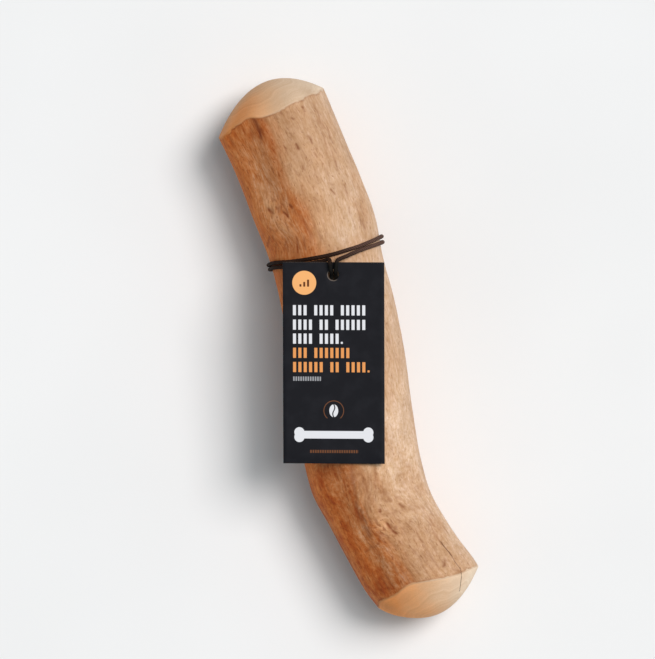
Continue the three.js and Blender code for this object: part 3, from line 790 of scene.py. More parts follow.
def stick_surface():
    """All rings of the stick from the lower dome to the upper one, with their masks and the place that
    the grain's patterns are read at: the point of an even round bar under the run of the fibres. Noise
    moves the sanded border up to a millimetre past the rim, and a thin line of painted shade lies just
    beyond it."""
    angle = ring_angles()
    low, high = rim_y("lower", angle), rim_y("upper", angle)
    y = ring_rows(low, high)
    grid_angle = np.broadcast_to(angle, y.shape)
    relief, masks, bent = wood_relief(grid_angle, y)
    to_rim = np.minimum(y - low, high - y)
    relief = relief - RIM_ROUNDING * np.exp(-to_rim / BORDER)
    body = over_branch(grid_angle, y, relief)
    ragged = sum(
        reach * MM * np.maximum(grain_noise(seed, grid_angle, y, width * MM, RAGGED_LENGTH), 0)
        for seed, reach, width in RAGGED
    )
    masks["sanded"] = smooth_step(BORDER, 0.0, to_rim - ragged)
    rim_shade = np.exp(-(((to_rim - ragged - RIM_SHADE_PAST) / RIM_SHADE_WIDTH) ** 2))
    uneven = grain_noise(54, grid_angle, y, 3 * MM, RAGGED_LENGTH)
    rim_shade = rim_shade * (RIM_SHADE_DARK + RIM_SHADE_UNEVEN * uneven)
    masks["marks_and_shade"] = np.maximum(masks["marks_and_shade"], rim_shade)
    grain = np.stack([np.cos(bent) * MEAN_RADIUS, y, np.sin(bent) * MEAN_RADIUS], axis=-1)
    first, first_masks, first_grain = dome_surface("lower", body[0])
    last, last_masks, last_grain = dome_surface("upper", body[-1])
    points = np.concatenate([first[::-1], body, last])
    grain = np.concatenate([first_grain[::-1], grain, last_grain])
    masks = {
        name: np.concatenate([first_masks[name][::-1], mask, last_masks[name]])
        for name, mask in masks.items()
    }
    return points, masks, grain


def build_stick():
    """The whole stick: the grid of rings and one pole on each dome."""
    points, masks, grain = stick_surface()
    faces = tube_faces(len(points), AROUND)
    poles = [on_dome(end, *dome_middle(end)[[0, 2]]) for end in ("lower", "upper")]
    points = np.concatenate([points.reshape(-1, 3), np.array(poles)])
    attributes = {
        name: np.append(mask.ravel(), [mask[0].mean(), mask[-1].mean()]) for name, mask in masks.items()
    }
    attributes["grain"] = np.concatenate([grain.reshape(-1, 3), grain[[0, -1]].mean(axis=1)])
    made = make_piece("peeled_branch", points - FOOTPRINT_MIDDLE, faces, attributes)
    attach(made, "root")
    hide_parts("stick")
    return made


branch = build_stick()

# %% [markdown]
# ## The cord
#
# The cord is a waxed twine of three strands, twisted. It goes out of the tag's hole to the right, round
# under the wood, across the top, round again and back to the hole, and its ends are knotted behind the
# tag. The route is a list of given places: by the wood as angle, y and height of the cord's
# middle over the wood, by the tag as right, up and out from the middle of the hole.

# %% The cord's route
TAG_PLACE = np.array([2.9, 29.3, 49.2]) * MM
TAG_TURN, TAG_ROLL, TAG_PITCH = np.radians([-17.65, -5.0, 4.8])
ON_WOOD = 1.2
PRESSED = 0.3 * MM  # the real cord is pulled this much closer to the wood
UNDER_STEP = 14  # degrees
RIGHT_END = [
    (1.2, -5.6, -2.3), (1.0, -3.6, -2.3), (0.9, -1.6, -2.25), (0.82, 0.0, -1.55), (0.82, 0.7, -0.4),
]
RIGHT_LEG = [(0.9, 1.5, 0.85), (1.05, 2.9, 1.2), (1.25, 4.3, 1.15), (1.55, 5.6, 0.65), (2.2, 6.1, -0.6)]
FIRST_STRAND = [
    (70, 34.8, 3.1), (63, 35.1, 2.2), (52, 35.4, 1.5), (39, 35.6, ON_WOOD), (26, 35.7, ON_WOOD),
    (13, 35.8, ON_WOOD),
]
FIRST_PASS_UNDER = [
    (-1, 36.0, ON_WOOD), (-15, 36.2, ON_WOOD), (-29, 36.8, ON_WOOD), (-43, 37.9, ON_WOOD),
    (-57, 39.2, ON_WOOD), (-71, 40.0, ON_WOOD),
]
SECOND_STRAND = [
    (159, 40.9, ON_WOOD), (146, 40.4, ON_WOOD), (133, 39.5, ON_WOOD), (118, 38.6, ON_WOOD),
    (104, 37.9, ON_WOOD), (91, 37.3, ON_WOOD), (79, 37.0, ON_WOOD), (67, 37.0, ON_WOOD),
    (54, 37.0, ON_WOOD), (41, 37.3, ON_WOOD), (27, 37.7, ON_WOOD), (12, 38.2, ON_WOOD),
]
SECOND_PASS_UNDER = [
    (-1, 38.2, ON_WOOD), (-15, 38.1, 1.5), (-29, 38.0, 2.5), (-43, 37.9, 3.0), (-57, 37.9, 2.5),
    (-71, 38.0, 1.5),
]
THIRD_STRAND = [
    (162, 39.1, ON_WOOD), (149, 38.7, ON_WOOD), (135, 37.7, ON_WOOD), (120, 36.9, ON_WOOD),
    (110, 36.4, 1.3), (101, 36.0, 1.6),
]
LEFT_LEG = [
    (-4.2, 5.2, -2.3), (-2.5, 5.9, -1.3), (-1.7, 6.0, -0.1), (-1.35, 5.4, 0.85), (-1.2, 4.2, 1.2),
    (-1.05, 2.9, 1.2), (-0.9, 1.5, 0.85),
]


def tag_axes():
    """The tag's own directions as rows: right, up and out. It is pitched, then rolled, then turned."""
    turn, roll, pitch = TAG_TURN, TAG_ROLL, TAG_PITCH
    about_z = np.array([[np.cos(turn), -np.sin(turn), 0], [np.sin(turn), np.cos(turn), 0], [0, 0, 1]])
    about_y = np.array([[np.cos(roll), 0, np.sin(roll)], [0, 1, 0], [-np.sin(roll), 0, np.cos(roll)]])
    about_x = np.array([[1, 0, 0], [0, np.cos(pitch), -np.sin(pitch)], [0, np.sin(pitch), np.cos(pitch)]])
    return (about_z @ about_y @ about_x).T


def from_tag(places):
    """Points given right, up and out from the middle of the hole, in the branch's coordinates."""
    return TAG_PLACE + np.asarray(places, float) @ tag_axes()


def by_wood(places):
    """Points given as angle in degrees, y and height in millimetres."""
    places = np.array(places, float)
    return over_branch(np.radians(places[:, 0]), places[:, 1] * MM, places[:, 2] * MM - PRESSED)


def round_underside(from_angle, from_y, to_angle, to_y):
    """Places in even steps round the rest of the underside, without the two at its ends."""
    steps = int(round(abs(to_angle - from_angle) / UNDER_STEP))
    share = np.arange(1, steps) / steps
    angle = from_angle + (to_angle - from_angle) * share
    y = from_y + (to_y - from_y) * share
    return [tuple(place) for place in np.stack([angle, y, np.full(steps - 1, ON_WOOD)], axis=-1)]


def cord_route():
    """The whole route from one end behind the tag to the other."""
    left_end = [(-right, up, out) for right, up, out in RIGHT_END[::-1]]
    return np.concatenate([
        from_tag(np.array(RIGHT_END + RIGHT_LEG) * MM),
        by_wood(FIRST_STRAND + FIRST_PASS_UNDER + round_underside(-71, 40.0, -201, 40.9)),
        by_wood(SECOND_STRAND + SECOND_PASS_UNDER + round_underside(-71, 38.0, -198, 39.1)),
        by_wood(THIRD_STRAND),
        from_tag(np.array(LEFT_LEG + left_end) * MM),
    ])


# %% [markdown]
# A tube needs a smooth line, evenly spaced rings, and a frame at each ring that doesn't spin. The line is
# a Catmull-Rom curve through the places. For the frame, a first guess leans on one fixed direction; its
# spin is then added up along the line and taken out again. The three strands show as three rounded
# lobes of the section that turn steadily as they go along.

# %% Sweeping a twisted section along a line
CORD_RADIUS = 0.8 * MM
CORD_SIDES = 24
RING_SPACING = 0.3 * MM
STRANDS = 3
LAY_LENGTH = 3.2 * MM  # one full turn of the twist
GROOVE_REACH, LOBE_RISE = 0.9, 0.11  # shares of the cord's radius: at a groove, and from there to a crown
BLUNT_END = 0.04  # the square of the share of the radius that is left at the very ends
NEVER_ALONG = np.array([0.68, -0.71, 0.18])  # the cord runs in this direction nowhere


def smooth_line(points, per_span=24):
    """A Catmull-Rom curve: between two points, the cubic whose slope at each is half the step from the
    point before it to the point after it."""
    before = np.concatenate([2 * points[:1] - points[1:2], points[:-1]])[:-1]
    after = np.concatenate([points[1:], 2 * points[-1:] - points[-2:-1]])[1:]
    start, stop = points[:-1], points[1:]
    t = (np.arange(per_span) / per_span)[None, :, None]
    leaving, arriving = (stop - before)[:, None] / 2, (after - start)[:, None] / 2
    curve = cubic(start[:, None], leaving, stop[:, None], arriving, t)
    return np.concatenate([curve.reshape(-1, 3), points[-1:]])


def evenly(line, spacing):
    """The same line with its points the same distance apart, and the distance along it."""
    length = np.concatenate([[0], np.cumsum(np.linalg.norm(np.diff(line, axis=0), axis=1))])
    count = int(length[-1] / spacing) + 1
    at = np.linspace(0, length[-1], count)
    return np.stack([np.interp(at, length, line[:, k]) for k in range(3)], axis=-1), at


def unit(vectors):
    """The vectors at length one."""
    return vectors / np.linalg.norm(vectors, axis=-1, keepdims=True)


def steady_frame(line, never_along):
    """Two directions across the line at each point that don't spin about it: a first pair leans on a fixed
    direction, and the sum of its small turns along the line is turned back."""
    along = unit(np.gradient(line, axis=0))
    across = unit(np.cross(along, never_along))
    upright = np.cross(along, across)
    spin = np.einsum("ij,ij->i", np.gradient(across, axis=0), upright)
    back = -(np.cumsum(spin) - spin / 2)[:, None]
    return across * np.cos(back) + upright * np.sin(back), upright * np.cos(back) - across * np.sin(back)


def twisted_tube(name, line, radius, never_along):
    """A twine: at distance s and angle a, the radius is larger by a share of the size of
    cos(k/2 (a - turn)), where k strands make one full turn in a lay length. Each end closes on one
    point."""
    line, at = evenly(line, RING_SPACING)
    across, upright = steady_frame(line, never_along)
    a = 2 * np.pi * np.arange(CORD_SIDES) / CORD_SIDES
    lobe = np.abs(np.cos(STRANDS / 2 * (a[None, :] - 2 * np.pi * at[:, None] / LAY_LENGTH)))
    taper = np.sqrt(np.clip(np.minimum(at, at[-1] - at) / radius, BLUNT_END, 1))[:, None]
    reach = radius * (GROOVE_REACH + LOBE_RISE * lobe) * taper
    ring = across[:, None] * np.cos(a)[None, :, None] + upright[:, None] * np.sin(a)[None, :, None]
    points = (line[:, None] + ring * reach[..., None]).reshape(-1, 3)
    points = np.concatenate([points, line[:1], line[-1:]])
    groove = np.append(lobe.ravel(), [1.0, 1.0])
    faces = [face[::-1] for face in tube_faces(len(line), CORD_SIDES)]
    made = make_piece(name, points - FOOTPRINT_MIDDLE, faces, {"lobe": groove})
    print(f"{name}: {at[-1] / MM:.0f} mm of cord")
    return made


# %% The cord round the stick
cord = twisted_tube("waxed_cord", smooth_line(cord_route()), CORD_RADIUS, NEVER_ALONG)
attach(cord, "root")
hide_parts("cord")

# %% [markdown]
# The two ends are joined behind the tag by a small knot, pressed flat between the card and the wood. It
# is a closed three-lobed loop, the line of an overhand knot drawn tight.

# %% The knot behind the tag
KNOT_MIDDLE = np.array([0.0, -4.6, -2.45]) * MM
KNOT_SIZE = np.array([0.675, 0.63, 0.288]) * MM
KNOT_CORD_RADIUS = 0.55 * MM  # the knot's cord is drawn thin
KNOT_PLACES = 240  # along its line
UPRIGHT = np.array([0.0, 0.0, 1.0])  # no part of the knot runs straight up


def knot_line():
    """A trefoil: right and up are sin t + 2 sin 2t and cos t - 2 cos 2t, out is minus sin 3t."""
    t = np.linspace(0, 2 * np.pi, KNOT_PLACES)
    across, up = np.sin(t) + 2 * np.sin(2 * t), np.cos(t) - 2 * np.cos(2 * t)
    trefoil = np.stack([across, up, -np.sin(3 * t)], axis=-1)
    return from_tag(KNOT_MIDDLE + trefoil * KNOT_SIZE)


knot = twisted_tube("cord_knot", knot_line(), KNOT_CORD_RADIUS, UPRIGHT)
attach(knot, "root")

# %% [markdown]
# ## The card tag
#
# The tag is punched from stiff black card. Its surface is one closed sheet: a profile that starts in the
# hole's wall, crosses the front, turns round the cut edge, crosses the back and ends in the hole again,
# carried round the hole through every direction. The card is bowed very slightly.

# %% The tag's surface
TAG_WIDTH, TAG_HEIGHT, TAG_THICKNESS = 40 * MM, 79.4 * MM, 0.8 * MM
HOLE_RADIUS = 2.15 * MM
HOLE_FROM_TOP = 4.9 * MM
EDGE_ROUNDING = 0.12 * MM
CARD_DIRECTIONS = 360
CARD_RINGS = 14
QUARTER_ROUND = np.array([(1.0, 0.0), (0.3, 0.3), (0.0, 1.0)]) * EDGE_ROUNDING  # in from the cut, and deep
CARD_BOW = 0.25 * MM


def card_outline(direction):
    """Distance from the hole to the card's edge: the nearest of the four straight edges that way."""
    right, up = np.cos(direction), np.sin(direction)
    wide = TAG_WIDTH / 2 / np.maximum(np.abs(right), 1e-9)
    tall = np.where(up > 0, HOLE_FROM_TOP, TAG_HEIGHT - HOLE_FROM_TOP) / np.maximum(np.abs(up), 1e-9)
    return np.minimum(wide, tall)


def card_directions():
    """Directions from the hole: an even fan, with each corner's own direction in place of the nearest."""
    fan = -np.pi + 2 * np.pi * np.arange(CARD_DIRECTIONS) / CARD_DIRECTIONS
    for right in (-TAG_WIDTH / 2, TAG_WIDTH / 2):
        for up in (HOLE_FROM_TOP - TAG_HEIGHT, HOLE_FROM_TOP):
            corner = np.arctan2(up, right)
            fan[np.argmin(np.abs(fan - corner))] = corner
    return fan


def card_rows():
    """The card as rows round the hole. Those of the front run from the hole's wall to the cut edge, with a
    quarter round at both. The back has the same rows the other way round, as deep from the far side."""
    fan = card_directions()
    outer = card_outline(fan)
    front = [(HOLE_RADIUS + inset + 0 * fan, deep) for inset, deep in QUARTER_ROUND[::-1]]
    for share in np.linspace(0, 1, CARD_RINGS)[1:-1]:
        front.append(((HOLE_RADIUS + EDGE_ROUNDING) * (1 - share) + (outer - EDGE_ROUNDING) * share, 0.0))
    front += [(outer - inset, deep) for inset, deep in QUARTER_ROUND]
    reach = np.array([reach for reach, _ in front])
    deep = np.array([deep for _, deep in front])
    reach = np.concatenate([reach, reach[::-1]])
    deep = np.concatenate([deep, TAG_THICKNESS - deep[::-1]])[:, None]
    return np.stack([reach * np.cos(fan), reach * np.sin(fan), 0 * reach - deep], axis=-1)


def build_card():
    """Puts the card in place with its bow, which falls off by the squared distance up or down from its
    middle, and keeps its flat coordinates for the print."""
    flat = card_rows()
    from_middle = (flat[..., 1] - HOLE_FROM_TOP + TAG_HEIGHT / 2) / (TAG_HEIGHT / 2)
    bow = CARD_BOW * (1 - from_middle**2)
    bowed = flat + bow[..., None] * (0, 0, 1)
    points = from_tag(bowed.reshape(-1, 3)) - FOOTPRINT_MIDDLE
    faces = ring_quads(*flat.shape[:2], closed=True)
    made = make_piece("card_tag", points, faces, {"flat": flat.reshape(-1, 3)})
    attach(made, "root")
    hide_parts("tag")
    return made


card = build_card()

# %% [markdown]
# ## Node helpers
#
# Materials are built from nodes. These small helpers add one node, or one sum, and join what is given to
# its inputs, so that a material below reads like a recipe.

# %% Helpers for nodes


def add(tree, kind, settings=None, inputs=None):
    """Adds one node. Inputs are given by name or place, each as a value or another node's output."""
    made = tree.nodes.new("ShaderNode" + kind)
    for label, value in (settings or {}).items():
        setattr(made, label, value)
    for label, value in (inputs or {}).items():
        if isinstance(value, bpy.types.NodeSocket):
            tree.links.new(value, made.inputs[label])
        else:
            made.inputs[label].default_value = value
    return made


def calculate(tree, operation, first, *others, clamp=False):
    """A sum of numbers: the operation on the first two, then on its result and the next, and so on. What
    needs only one number, such as its size without the sign, is given no others."""
    for other in others or (0.0,):
        settings = {"operation": operation, "use_clamp": clamp}
        first = add(tree, "Math", settings, {0: first, 1: other}).outputs[0]
    return first


def vector_sum(tree, operation, first, second=(0.0, 0.0, 0.0)):
    """One sum of two vectors."""
    made = add(tree, "VectorMath", {"operation": operation}, {0: first, 1: second})
    return made.outputs["Value" if operation == "LENGTH" else "Vector"]


def stretch(tree, value, low, high, to_low=0.0, to_high=1.0):
    """Moves a value from one range to another, with a smooth rise and no overshoot."""
    ranges = {"From Min": low, "From Max": high, "To Min": to_low, "To Max": to_high}
    settings = {"interpolation_type": "SMOOTHSTEP"}
    return add(tree, "MapRange", settings, {"Value": value, **ranges}).outputs[0]


def between(tree, share, at_zero, at_one):
    """A value that goes smoothly from one number to another as the share goes from 0 to 1."""
    return stretch(tree, share, 0.0, 1.0, at_zero, at_one)


def by_noise(tree, value, at_low=0.0, at_high=1.0):
    """A value that goes from one number to another as noise goes through most of its range."""
    return stretch(tree, value, 0.3, 0.7, at_low, at_high)


def blend(tree, share, first, second, way="MIX"):
    """Mixes two colours; share 0 gives the first."""
    settings = {"data_type": "RGBA", "blend_type": way, "clamp_factor": True}
    return add(tree, "Mix", settings, {0: share, 6: first, 7: second}).outputs[2]


def stored(tree, label, output="Fac"):
    """A value that was stored on the piece's points."""
    return add(tree, "Attribute", {"attribute_name": label}).outputs[output]


def noise(tree, place, scale, detail=2.0, roughness=0.5):
    """Soft noise at a place, with cells of about one over scale."""
    inputs = {"Vector": place, "Scale": scale, "Detail": detail, "Roughness": roughness}
    return add(tree, "TexNoise", {}, inputs).outputs["Fac"]


def swing(tree, value, amount):
    """Noise, which lies round one half, as a swing to both sides of zero."""
    return calculate(tree, "MULTIPLY", calculate(tree, "SUBTRACT", value, 0.5), amount)


def srgb(red, green, blue):
    """A colour as seen on a screen, from 0 to 255, as the linear colour that a shader wants."""
    seen = np.array([red, green, blue]) / 255.0
    linear = np.where(seen <= 0.04045, seen / 12.92, ((seen + 0.055) / 1.055) ** 2.4)
    return (*[float(channel) for channel in linear], 1.0)


def new_material(name):
    """A material with its tree cleared to a Principled shader and an output."""
    made = bpy.data.materials.new(name)
    made.use_nodes = True
    tree = made.node_tree
    tree.nodes.clear()
    shader = add(tree, "BsdfPrincipled")
    output = add(tree, "OutputMaterial")
    tree.links.new(shader.outputs[0], output.inputs[0])
    return made, tree, shader


def finish_shader(tree, shader, colour, roughness, height, specular, strength, depth):
    """Joins a material's results to its shader: colour, roughness and a height, whose bump has the given
    strength and depth. Specular is how much it mirrors."""
    tree.links.new(colour, shader.inputs["Base Color"])
    tree.links.new(roughness, shader.inputs["Roughness"])
    shader.inputs["Specular IOR Level"].default_value = specular
    bump = add(tree, "Bump", {}, {"Strength": strength, "Distance": depth, "Height": height})
    tree.links.new(bump.outputs[0], shader.inputs["Normal"])


def cover(piece, material):
    """Gives a piece its material."""
    piece.data.materials.append(material)
    print(f"{piece.name} is covered in {material.name}: {len(material.node_tree.nodes)} nodes")


def new_group(name, inputs, output):
    """A node group with the given inputs, each a name and a kind, and one output, a number."""
    tree = bpy.data.node_groups.new(name, "ShaderNodeTree")
    for label, kind in inputs.items():
        tree.interface.new_socket(label, in_out="INPUT", socket_type="NodeSocket" + kind)
    tree.interface.new_socket(output, in_out="OUTPUT", socket_type="NodeSocketFloat")
    return tree, tree.nodes.new("NodeGroupInput"), tree.nodes.new("NodeGroupOutput")


# %% [markdown]
# ## Grain
#
# The wood's side needs streaks of many sizes that run along the branch, and card has a faint fibre too,
# so this is a group of its own. Noise is read at a place that is squeezed along the grain, which draws
# it out into streaks.

# %% The grain group


def grain_group():
    """Streaks along Y: noise of a place whose Y is divided by how many times longer than wide they are."""
    inputs = {"Place": "Vector", "Width": "Float", "Stretch": "Float", "Detail": "Float"}
    tree, given, result = new_group("drawn_out_grain", inputs, "Streaks")
    apart = add(tree, "SeparateXYZ", {}, {0: given.outputs["Place"]})
    along = calculate(tree, "DIVIDE", apart.outputs[1], given.outputs["Stretch"])
    squeezed = add(tree, "CombineXYZ", {}, {0: apart.outputs[0], 1: along, 2: apart.outputs[2]})
    scale = calculate(tree, "DIVIDE", 1.0, given.outputs["Width"])
    streaks = noise(tree, squeezed.outputs[0], scale, given.outputs["Detail"])
    tree.links.new(streaks, result.inputs["Streaks"])
    return tree


GRAIN = grain_group()


def streaks(tree, place, width, stretch_by, detail=2.0):
    """Streaks of that width in a material, from the grain group."""
    made = add(tree, "Group", {"node_tree": GRAIN}, {
        "Place": place, "Width": width, "Stretch": stretch_by, "Detail": detail,
    })
    return made.outputs["Streaks"]


LINES_HERE = (0.46, 0.62)  # lines begin and are complete at these values of the coarser noise


def fibre_lines(tree, place, width, stretch_by, thin):
    """Thin lines along the grain: they lie where drawn-out noise crosses its middle, and fade out wherever
    a second, coarser noise is low."""
    crossing = calculate(tree, "SUBTRACT", streaks(tree, place, width, stretch_by, 1.0), 0.5)
    line = stretch(tree, calculate(tree, "ABSOLUTE", crossing), 0.0, thin, 1.0, 0.0)
    elsewhere = vector_sum(tree, "ADD", place, (0.2, 0.1, 0.4))
    here = stretch(tree, streaks(tree, elsewhere, 1.5 * width, 1.6, 1.0), *LINES_HERE)
    return calculate(tree, "MULTIPLY", line, here)


# %% [markdown]
# ## The wood
#
# Peeled coffee wood is pale tan to orange brown. The stored warmth picks the colour from a ramp, one ramp
# for the fibrous side and one for the sanded ends. Then streaks at three sizes make it lighter and
# darker, and since darker wood is also redder, green and blue fall faster than red does, most of all on
# the warm left side. Towards the lower end the wood grows lumpier: streaks weaken there, while blots
# and, on the left, broad patches take over.

# %% The wood's colours
SIDE_RAMP = [
    # warmth, colour as seen
    (0.0, (204, 170, 139)), (0.2, (195, 153, 116)), (0.36, (188, 141, 101)), (0.5, (182, 126, 82)),
    (0.6, (188, 120, 72)), (0.72, (197, 119, 65)), (0.86, (201, 114, 54)), (1.0, (216, 116, 46)),
]
END_RAMP = [
    (0.0, (210, 186, 160)), (0.3, (206, 174, 143)), (0.5, (206, 162, 123)), (0.75, (213, 150, 99)),
    (1.0, (222, 140, 76)),
]
MARK_AND_SHADE_TINT = (0.36, 0.15, 0.03, 1.0)  # what is left of red, green and blue in a mark and in painted shade
SPLIT_BROWN = srgb(96, 64, 44)


def ramp(tree, value, stops):
    """A colour ramp through the given stops."""
    made = add(tree, "ValToRGB", {}, {0: value})
    elements = made.color_ramp.elements
    for place, _ in stops[2:]:
        elements.new(place)
    for element, (place, colour) in zip(elements, stops):
        element.position = place
        element.color = srgb(*colour)
    return made.outputs[0]


def lighter(tree, colour, level, green_power, blue_power):
    """The colour times a level: red times the level itself, green and blue times its powers."""
    greener = calculate(tree, "POWER", level, green_power)
    bluer = calculate(tree, "POWER", level, blue_power)
    levels = add(tree, "CombineColor", {}, {0: level, 1: greener, 2: bluer})
    return blend(tree, 1.0, colour, levels.outputs[0], "MULTIPLY")


# %% Streaks, and where they are read
WAVER, WAVER_SIZE = 0.6 * MM, 5 * MM
STREAKS = {
    # name: width in mm, how many times longer, how far it swings the level, its share in the bump
    "broad": (2.2, 3.2, 0.3, 1.0),
    "fibres": (0.8, 5.0, 0.46, 0.6),
    "hairs": (0.36, 8.0, 0.24, 0.3),
}


def wavering(tree, place):
    """The place, moved by noise up to the waver to each side."""
    wander = add(tree, "TexNoise", {}, {"Vector": place, "Scale": 1 / WAVER_SIZE, "Detail": 1.0})
    aside = vector_sum(tree, "SUBTRACT", wander.outputs["Color"], (0.5, 0.5, 0.5))
    aside = vector_sum(tree, "MULTIPLY", aside, (2 * WAVER, 2 * WAVER, 2 * WAVER))
    return vector_sum(tree, "ADD", place, aside)


def streak_layers(tree, place):
    """The streaks of each size, by name."""
    return {
        name: streaks(tree, place, width * MM, longer) for name, (width, longer, _, _) in STREAKS.items()
    }


# %% The level of the wood's side
BLOT_SIZE, PATCH_SIZE = 1.6 * MM, 3.4 * MM
LUMPY_FROM, LUMPY_BELOW = 10 * MM, -50 * MM
STREAKS_BELOW = 0.62  # what is left of the streaks' swing where the wood is lumpy
BLOT_SWING = (0.32, 0.55)  # how far blots swing the level, elsewhere and where the wood is lumpy
PATCH_SWING = 0.5
LEFT_CALMER = 0.8  # what is left of every swing where the wood is warm


def side_swings(tree, steady, place, layers, left):
    """How much lighter or darker than usual the side is: the sum of the streaks, the blots and, below and
    on the left, the patches, times the stored roughness of the wood."""
    along = add(tree, "SeparateXYZ", {}, {0: steady}).outputs[1]
    lumpy = stretch(tree, along, LUMPY_FROM, LUMPY_BELOW)
    drawn = [swing(tree, layers[name], amount) for name, (_, _, amount, _) in STREAKS.items()]
    drawn = calculate(tree, "ADD", *drawn)
    drawn = calculate(tree, "MULTIPLY", drawn, between(tree, lumpy, 1.0, STREAKS_BELOW))
    blots = swing(tree, noise(tree, place, 1 / BLOT_SIZE, 4.0, 0.7), 1.0)
    blots = calculate(tree, "MULTIPLY", blots, between(tree, lumpy, *BLOT_SWING))
    patches = swing(tree, streaks(tree, steady, PATCH_SIZE, 2.2, 1.0), PATCH_SWING)
    patches = calculate(tree, "MULTIPLY", patches, lumpy, left)
    swings = calculate(tree, "ADD", drawn, blots, patches)
    calmer = between(tree, left, 1.0, LEFT_CALMER)
    return calculate(tree, "MULTIPLY", swings, stored(tree, "rough"), calmer)


# %% The colour of the wood's side
LEFT_TINT = (0.4, 0.75)  # the colours of the left begin and are complete at these warmths
STREAK_POWERS = (
    # how fast it falls with the level on the pale side, and on the warm side
    (1.5, 2.65),  # green
    (2.4, 5.2),  # blue
)
TONE_POWERS = ((1.2, 1.45), (1.4, 2.0))
SIDE_LEVEL = 1.02  # the level that the swings go round
WARMTH_SWING, WARMTH_STEADY = 0.15, 0.25  # how far broad streaks move the warmth, its share on the left


def side_colour(tree, steady, place, layers, left):
    """The ramp's colour at the stored warmth, which the broad streaks move a little, first times the level
    of the streaks and then times the stored tone."""
    moved = swing(tree, layers["broad"], WARMTH_SWING)
    moved = calculate(tree, "MULTIPLY", moved, between(tree, left, 1.0, WARMTH_STEADY))
    warmth = calculate(tree, "ADD", stored(tree, "warmth"), moved, clamp=True)
    level = calculate(tree, "ADD", SIDE_LEVEL, side_swings(tree, steady, place, layers, left))
    powers = [between(tree, left, *ends) for ends in STREAK_POWERS]
    colour = lighter(tree, ramp(tree, warmth, SIDE_RAMP), level, *powers)
    powers = [between(tree, left, *ends) for ends in TONE_POWERS]
    return lighter(tree, colour, calculate(tree, "ADD", 1.0, stored(tree, "tone")), *powers)


# %% Pores and thin lines
PORE_STREAKS = (0.6 * MM, 3.5)  # width, how many times longer
PORE_FROM, PORE_TO, PORE_DARK = 0.66, 0.76, 0.5  # where a pore begins and is complete, how dark it is
LINES, FINE_LINES = (1.5 * MM, 6.0, 0.035), (0.8 * MM, 7.0, 0.05)  # width, times longer, how thin
LINES_DARK, FINE_SHARE = 0.3, 0.7  # how dark lines are, and the share of it in the fine ones


def spoiled_and_shaded_mask(tree, place):
    """How dark a pore, a thin line or the stored marks and painted shade make the side: the largest of the
    three. Pores are where short streaks are highest."""
    elsewhere = vector_sum(tree, "ADD", place, (0.3, 0.0, 0.1))
    pores = streaks(tree, elsewhere, *PORE_STREAKS, 1.0)
    pores = stretch(tree, pores, PORE_FROM, PORE_TO, 0.0, PORE_DARK)
    lines = fibre_lines(tree, place, *LINES)
    fine_lines = fibre_lines(tree, elsewhere, *FINE_LINES)
    lines = calculate(tree, "MAXIMUM", lines, calculate(tree, "MULTIPLY", fine_lines, FINE_SHARE))
    lines = calculate(tree, "MULTIPLY", lines, stored(tree, "rough"), LINES_DARK)
    return calculate(tree, "MAXIMUM", pores, lines, stored(tree, "marks_and_shade"))


# %% The sanded ends' colour
GROWTH_RING = 1.3 * MM
RING_BEND, RING_BEND_SIZE = 7 * MM, 10 * MM
CLOUD_SIZE, DUST_SIZE = 5 * MM, 0.6 * MM
RING_SWING, CLOUD_SWING, DUST_SWING = 0.34, 0.12, 0.16  # how far each swings the level
CLOUD_WARMTH = 0.2  # how far the clouds swing the warmth
END_POWERS, END_TONE_POWERS = (1.5, 2.1), (1.1, 1.2)  # how fast green and blue fall


def end_colour(tree, place):
    """The sanded end: rings are the distance from the pith, bent by noise and counted in ring widths; each
    is only a little darker than the wood between, and some are stronger than others."""
    apart = add(tree, "SeparateXYZ", {}, {0: place})
    flat = add(tree, "CombineXYZ", {}, {0: apart.outputs[0], 1: 0.0, 2: apart.outputs[2]}).outputs[0]
    bend = swing(tree, noise(tree, flat, 1 / RING_BEND_SIZE, 1.0), RING_BEND)
    radius = calculate(tree, "ADD", vector_sum(tree, "LENGTH", flat), bend)
    sizes = add(tree, "CombineXYZ", {}, {0: radius}).outputs[0]
    rings = swing(tree, noise(tree, sizes, 1 / GROWTH_RING), RING_SWING)
    clouds = noise(tree, flat, 1 / CLOUD_SIZE)
    dust = swing(tree, noise(tree, flat, 1 / DUST_SIZE), DUST_SWING)
    level = calculate(tree, "ADD", 1.0, rings, swing(tree, clouds, CLOUD_SWING), dust)
    moved = swing(tree, clouds, CLOUD_WARMTH)
    warmth = calculate(tree, "ADD", stored(tree, "warmth"), moved, clamp=True)
    colour = lighter(tree, ramp(tree, warmth, END_RAMP), level, *END_POWERS)
    return lighter(tree, colour, calculate(tree, "ADD", 1.0, stored(tree, "tone")), *END_TONE_POWERS)


# %% The wood's material
SPOILED_AND_SHADED_DEPTH = 0.8
STREAKS_MEAN = 0.9  # about the average of the streaks' sum, so that the side is level with the ends
LEFT_FLATTER = 0.3  # what is left of the height where the wood is warm
SPLIT_FROM, SPLIT_TO = 0.25, 0.9  # the crack's brown begins and is complete at these values


def wood_height(tree, layers, spoiled_and_shaded, left):
    """Height for the bump: the sum of the streaks' shares less its average and less the spoiled places and
    painted shade, on the side alone, and weaker where the wood is warm."""
    shares = [calculate(tree, "MULTIPLY", layers[name], share) for name, (*_, share) in STREAKS.items()]
    height = calculate(tree, "ADD", *shares)
    pits = calculate(tree, "MULTIPLY", spoiled_and_shaded, SPOILED_AND_SHADED_DEPTH)
    height = calculate(tree, "SUBTRACT", height, pits, STREAKS_MEAN)
    on_side = calculate(tree, "SUBTRACT", 1.0, stored(tree, "sanded"))
    return calculate(tree, "MULTIPLY", height, on_side, between(tree, left, 1.0, LEFT_FLATTER))


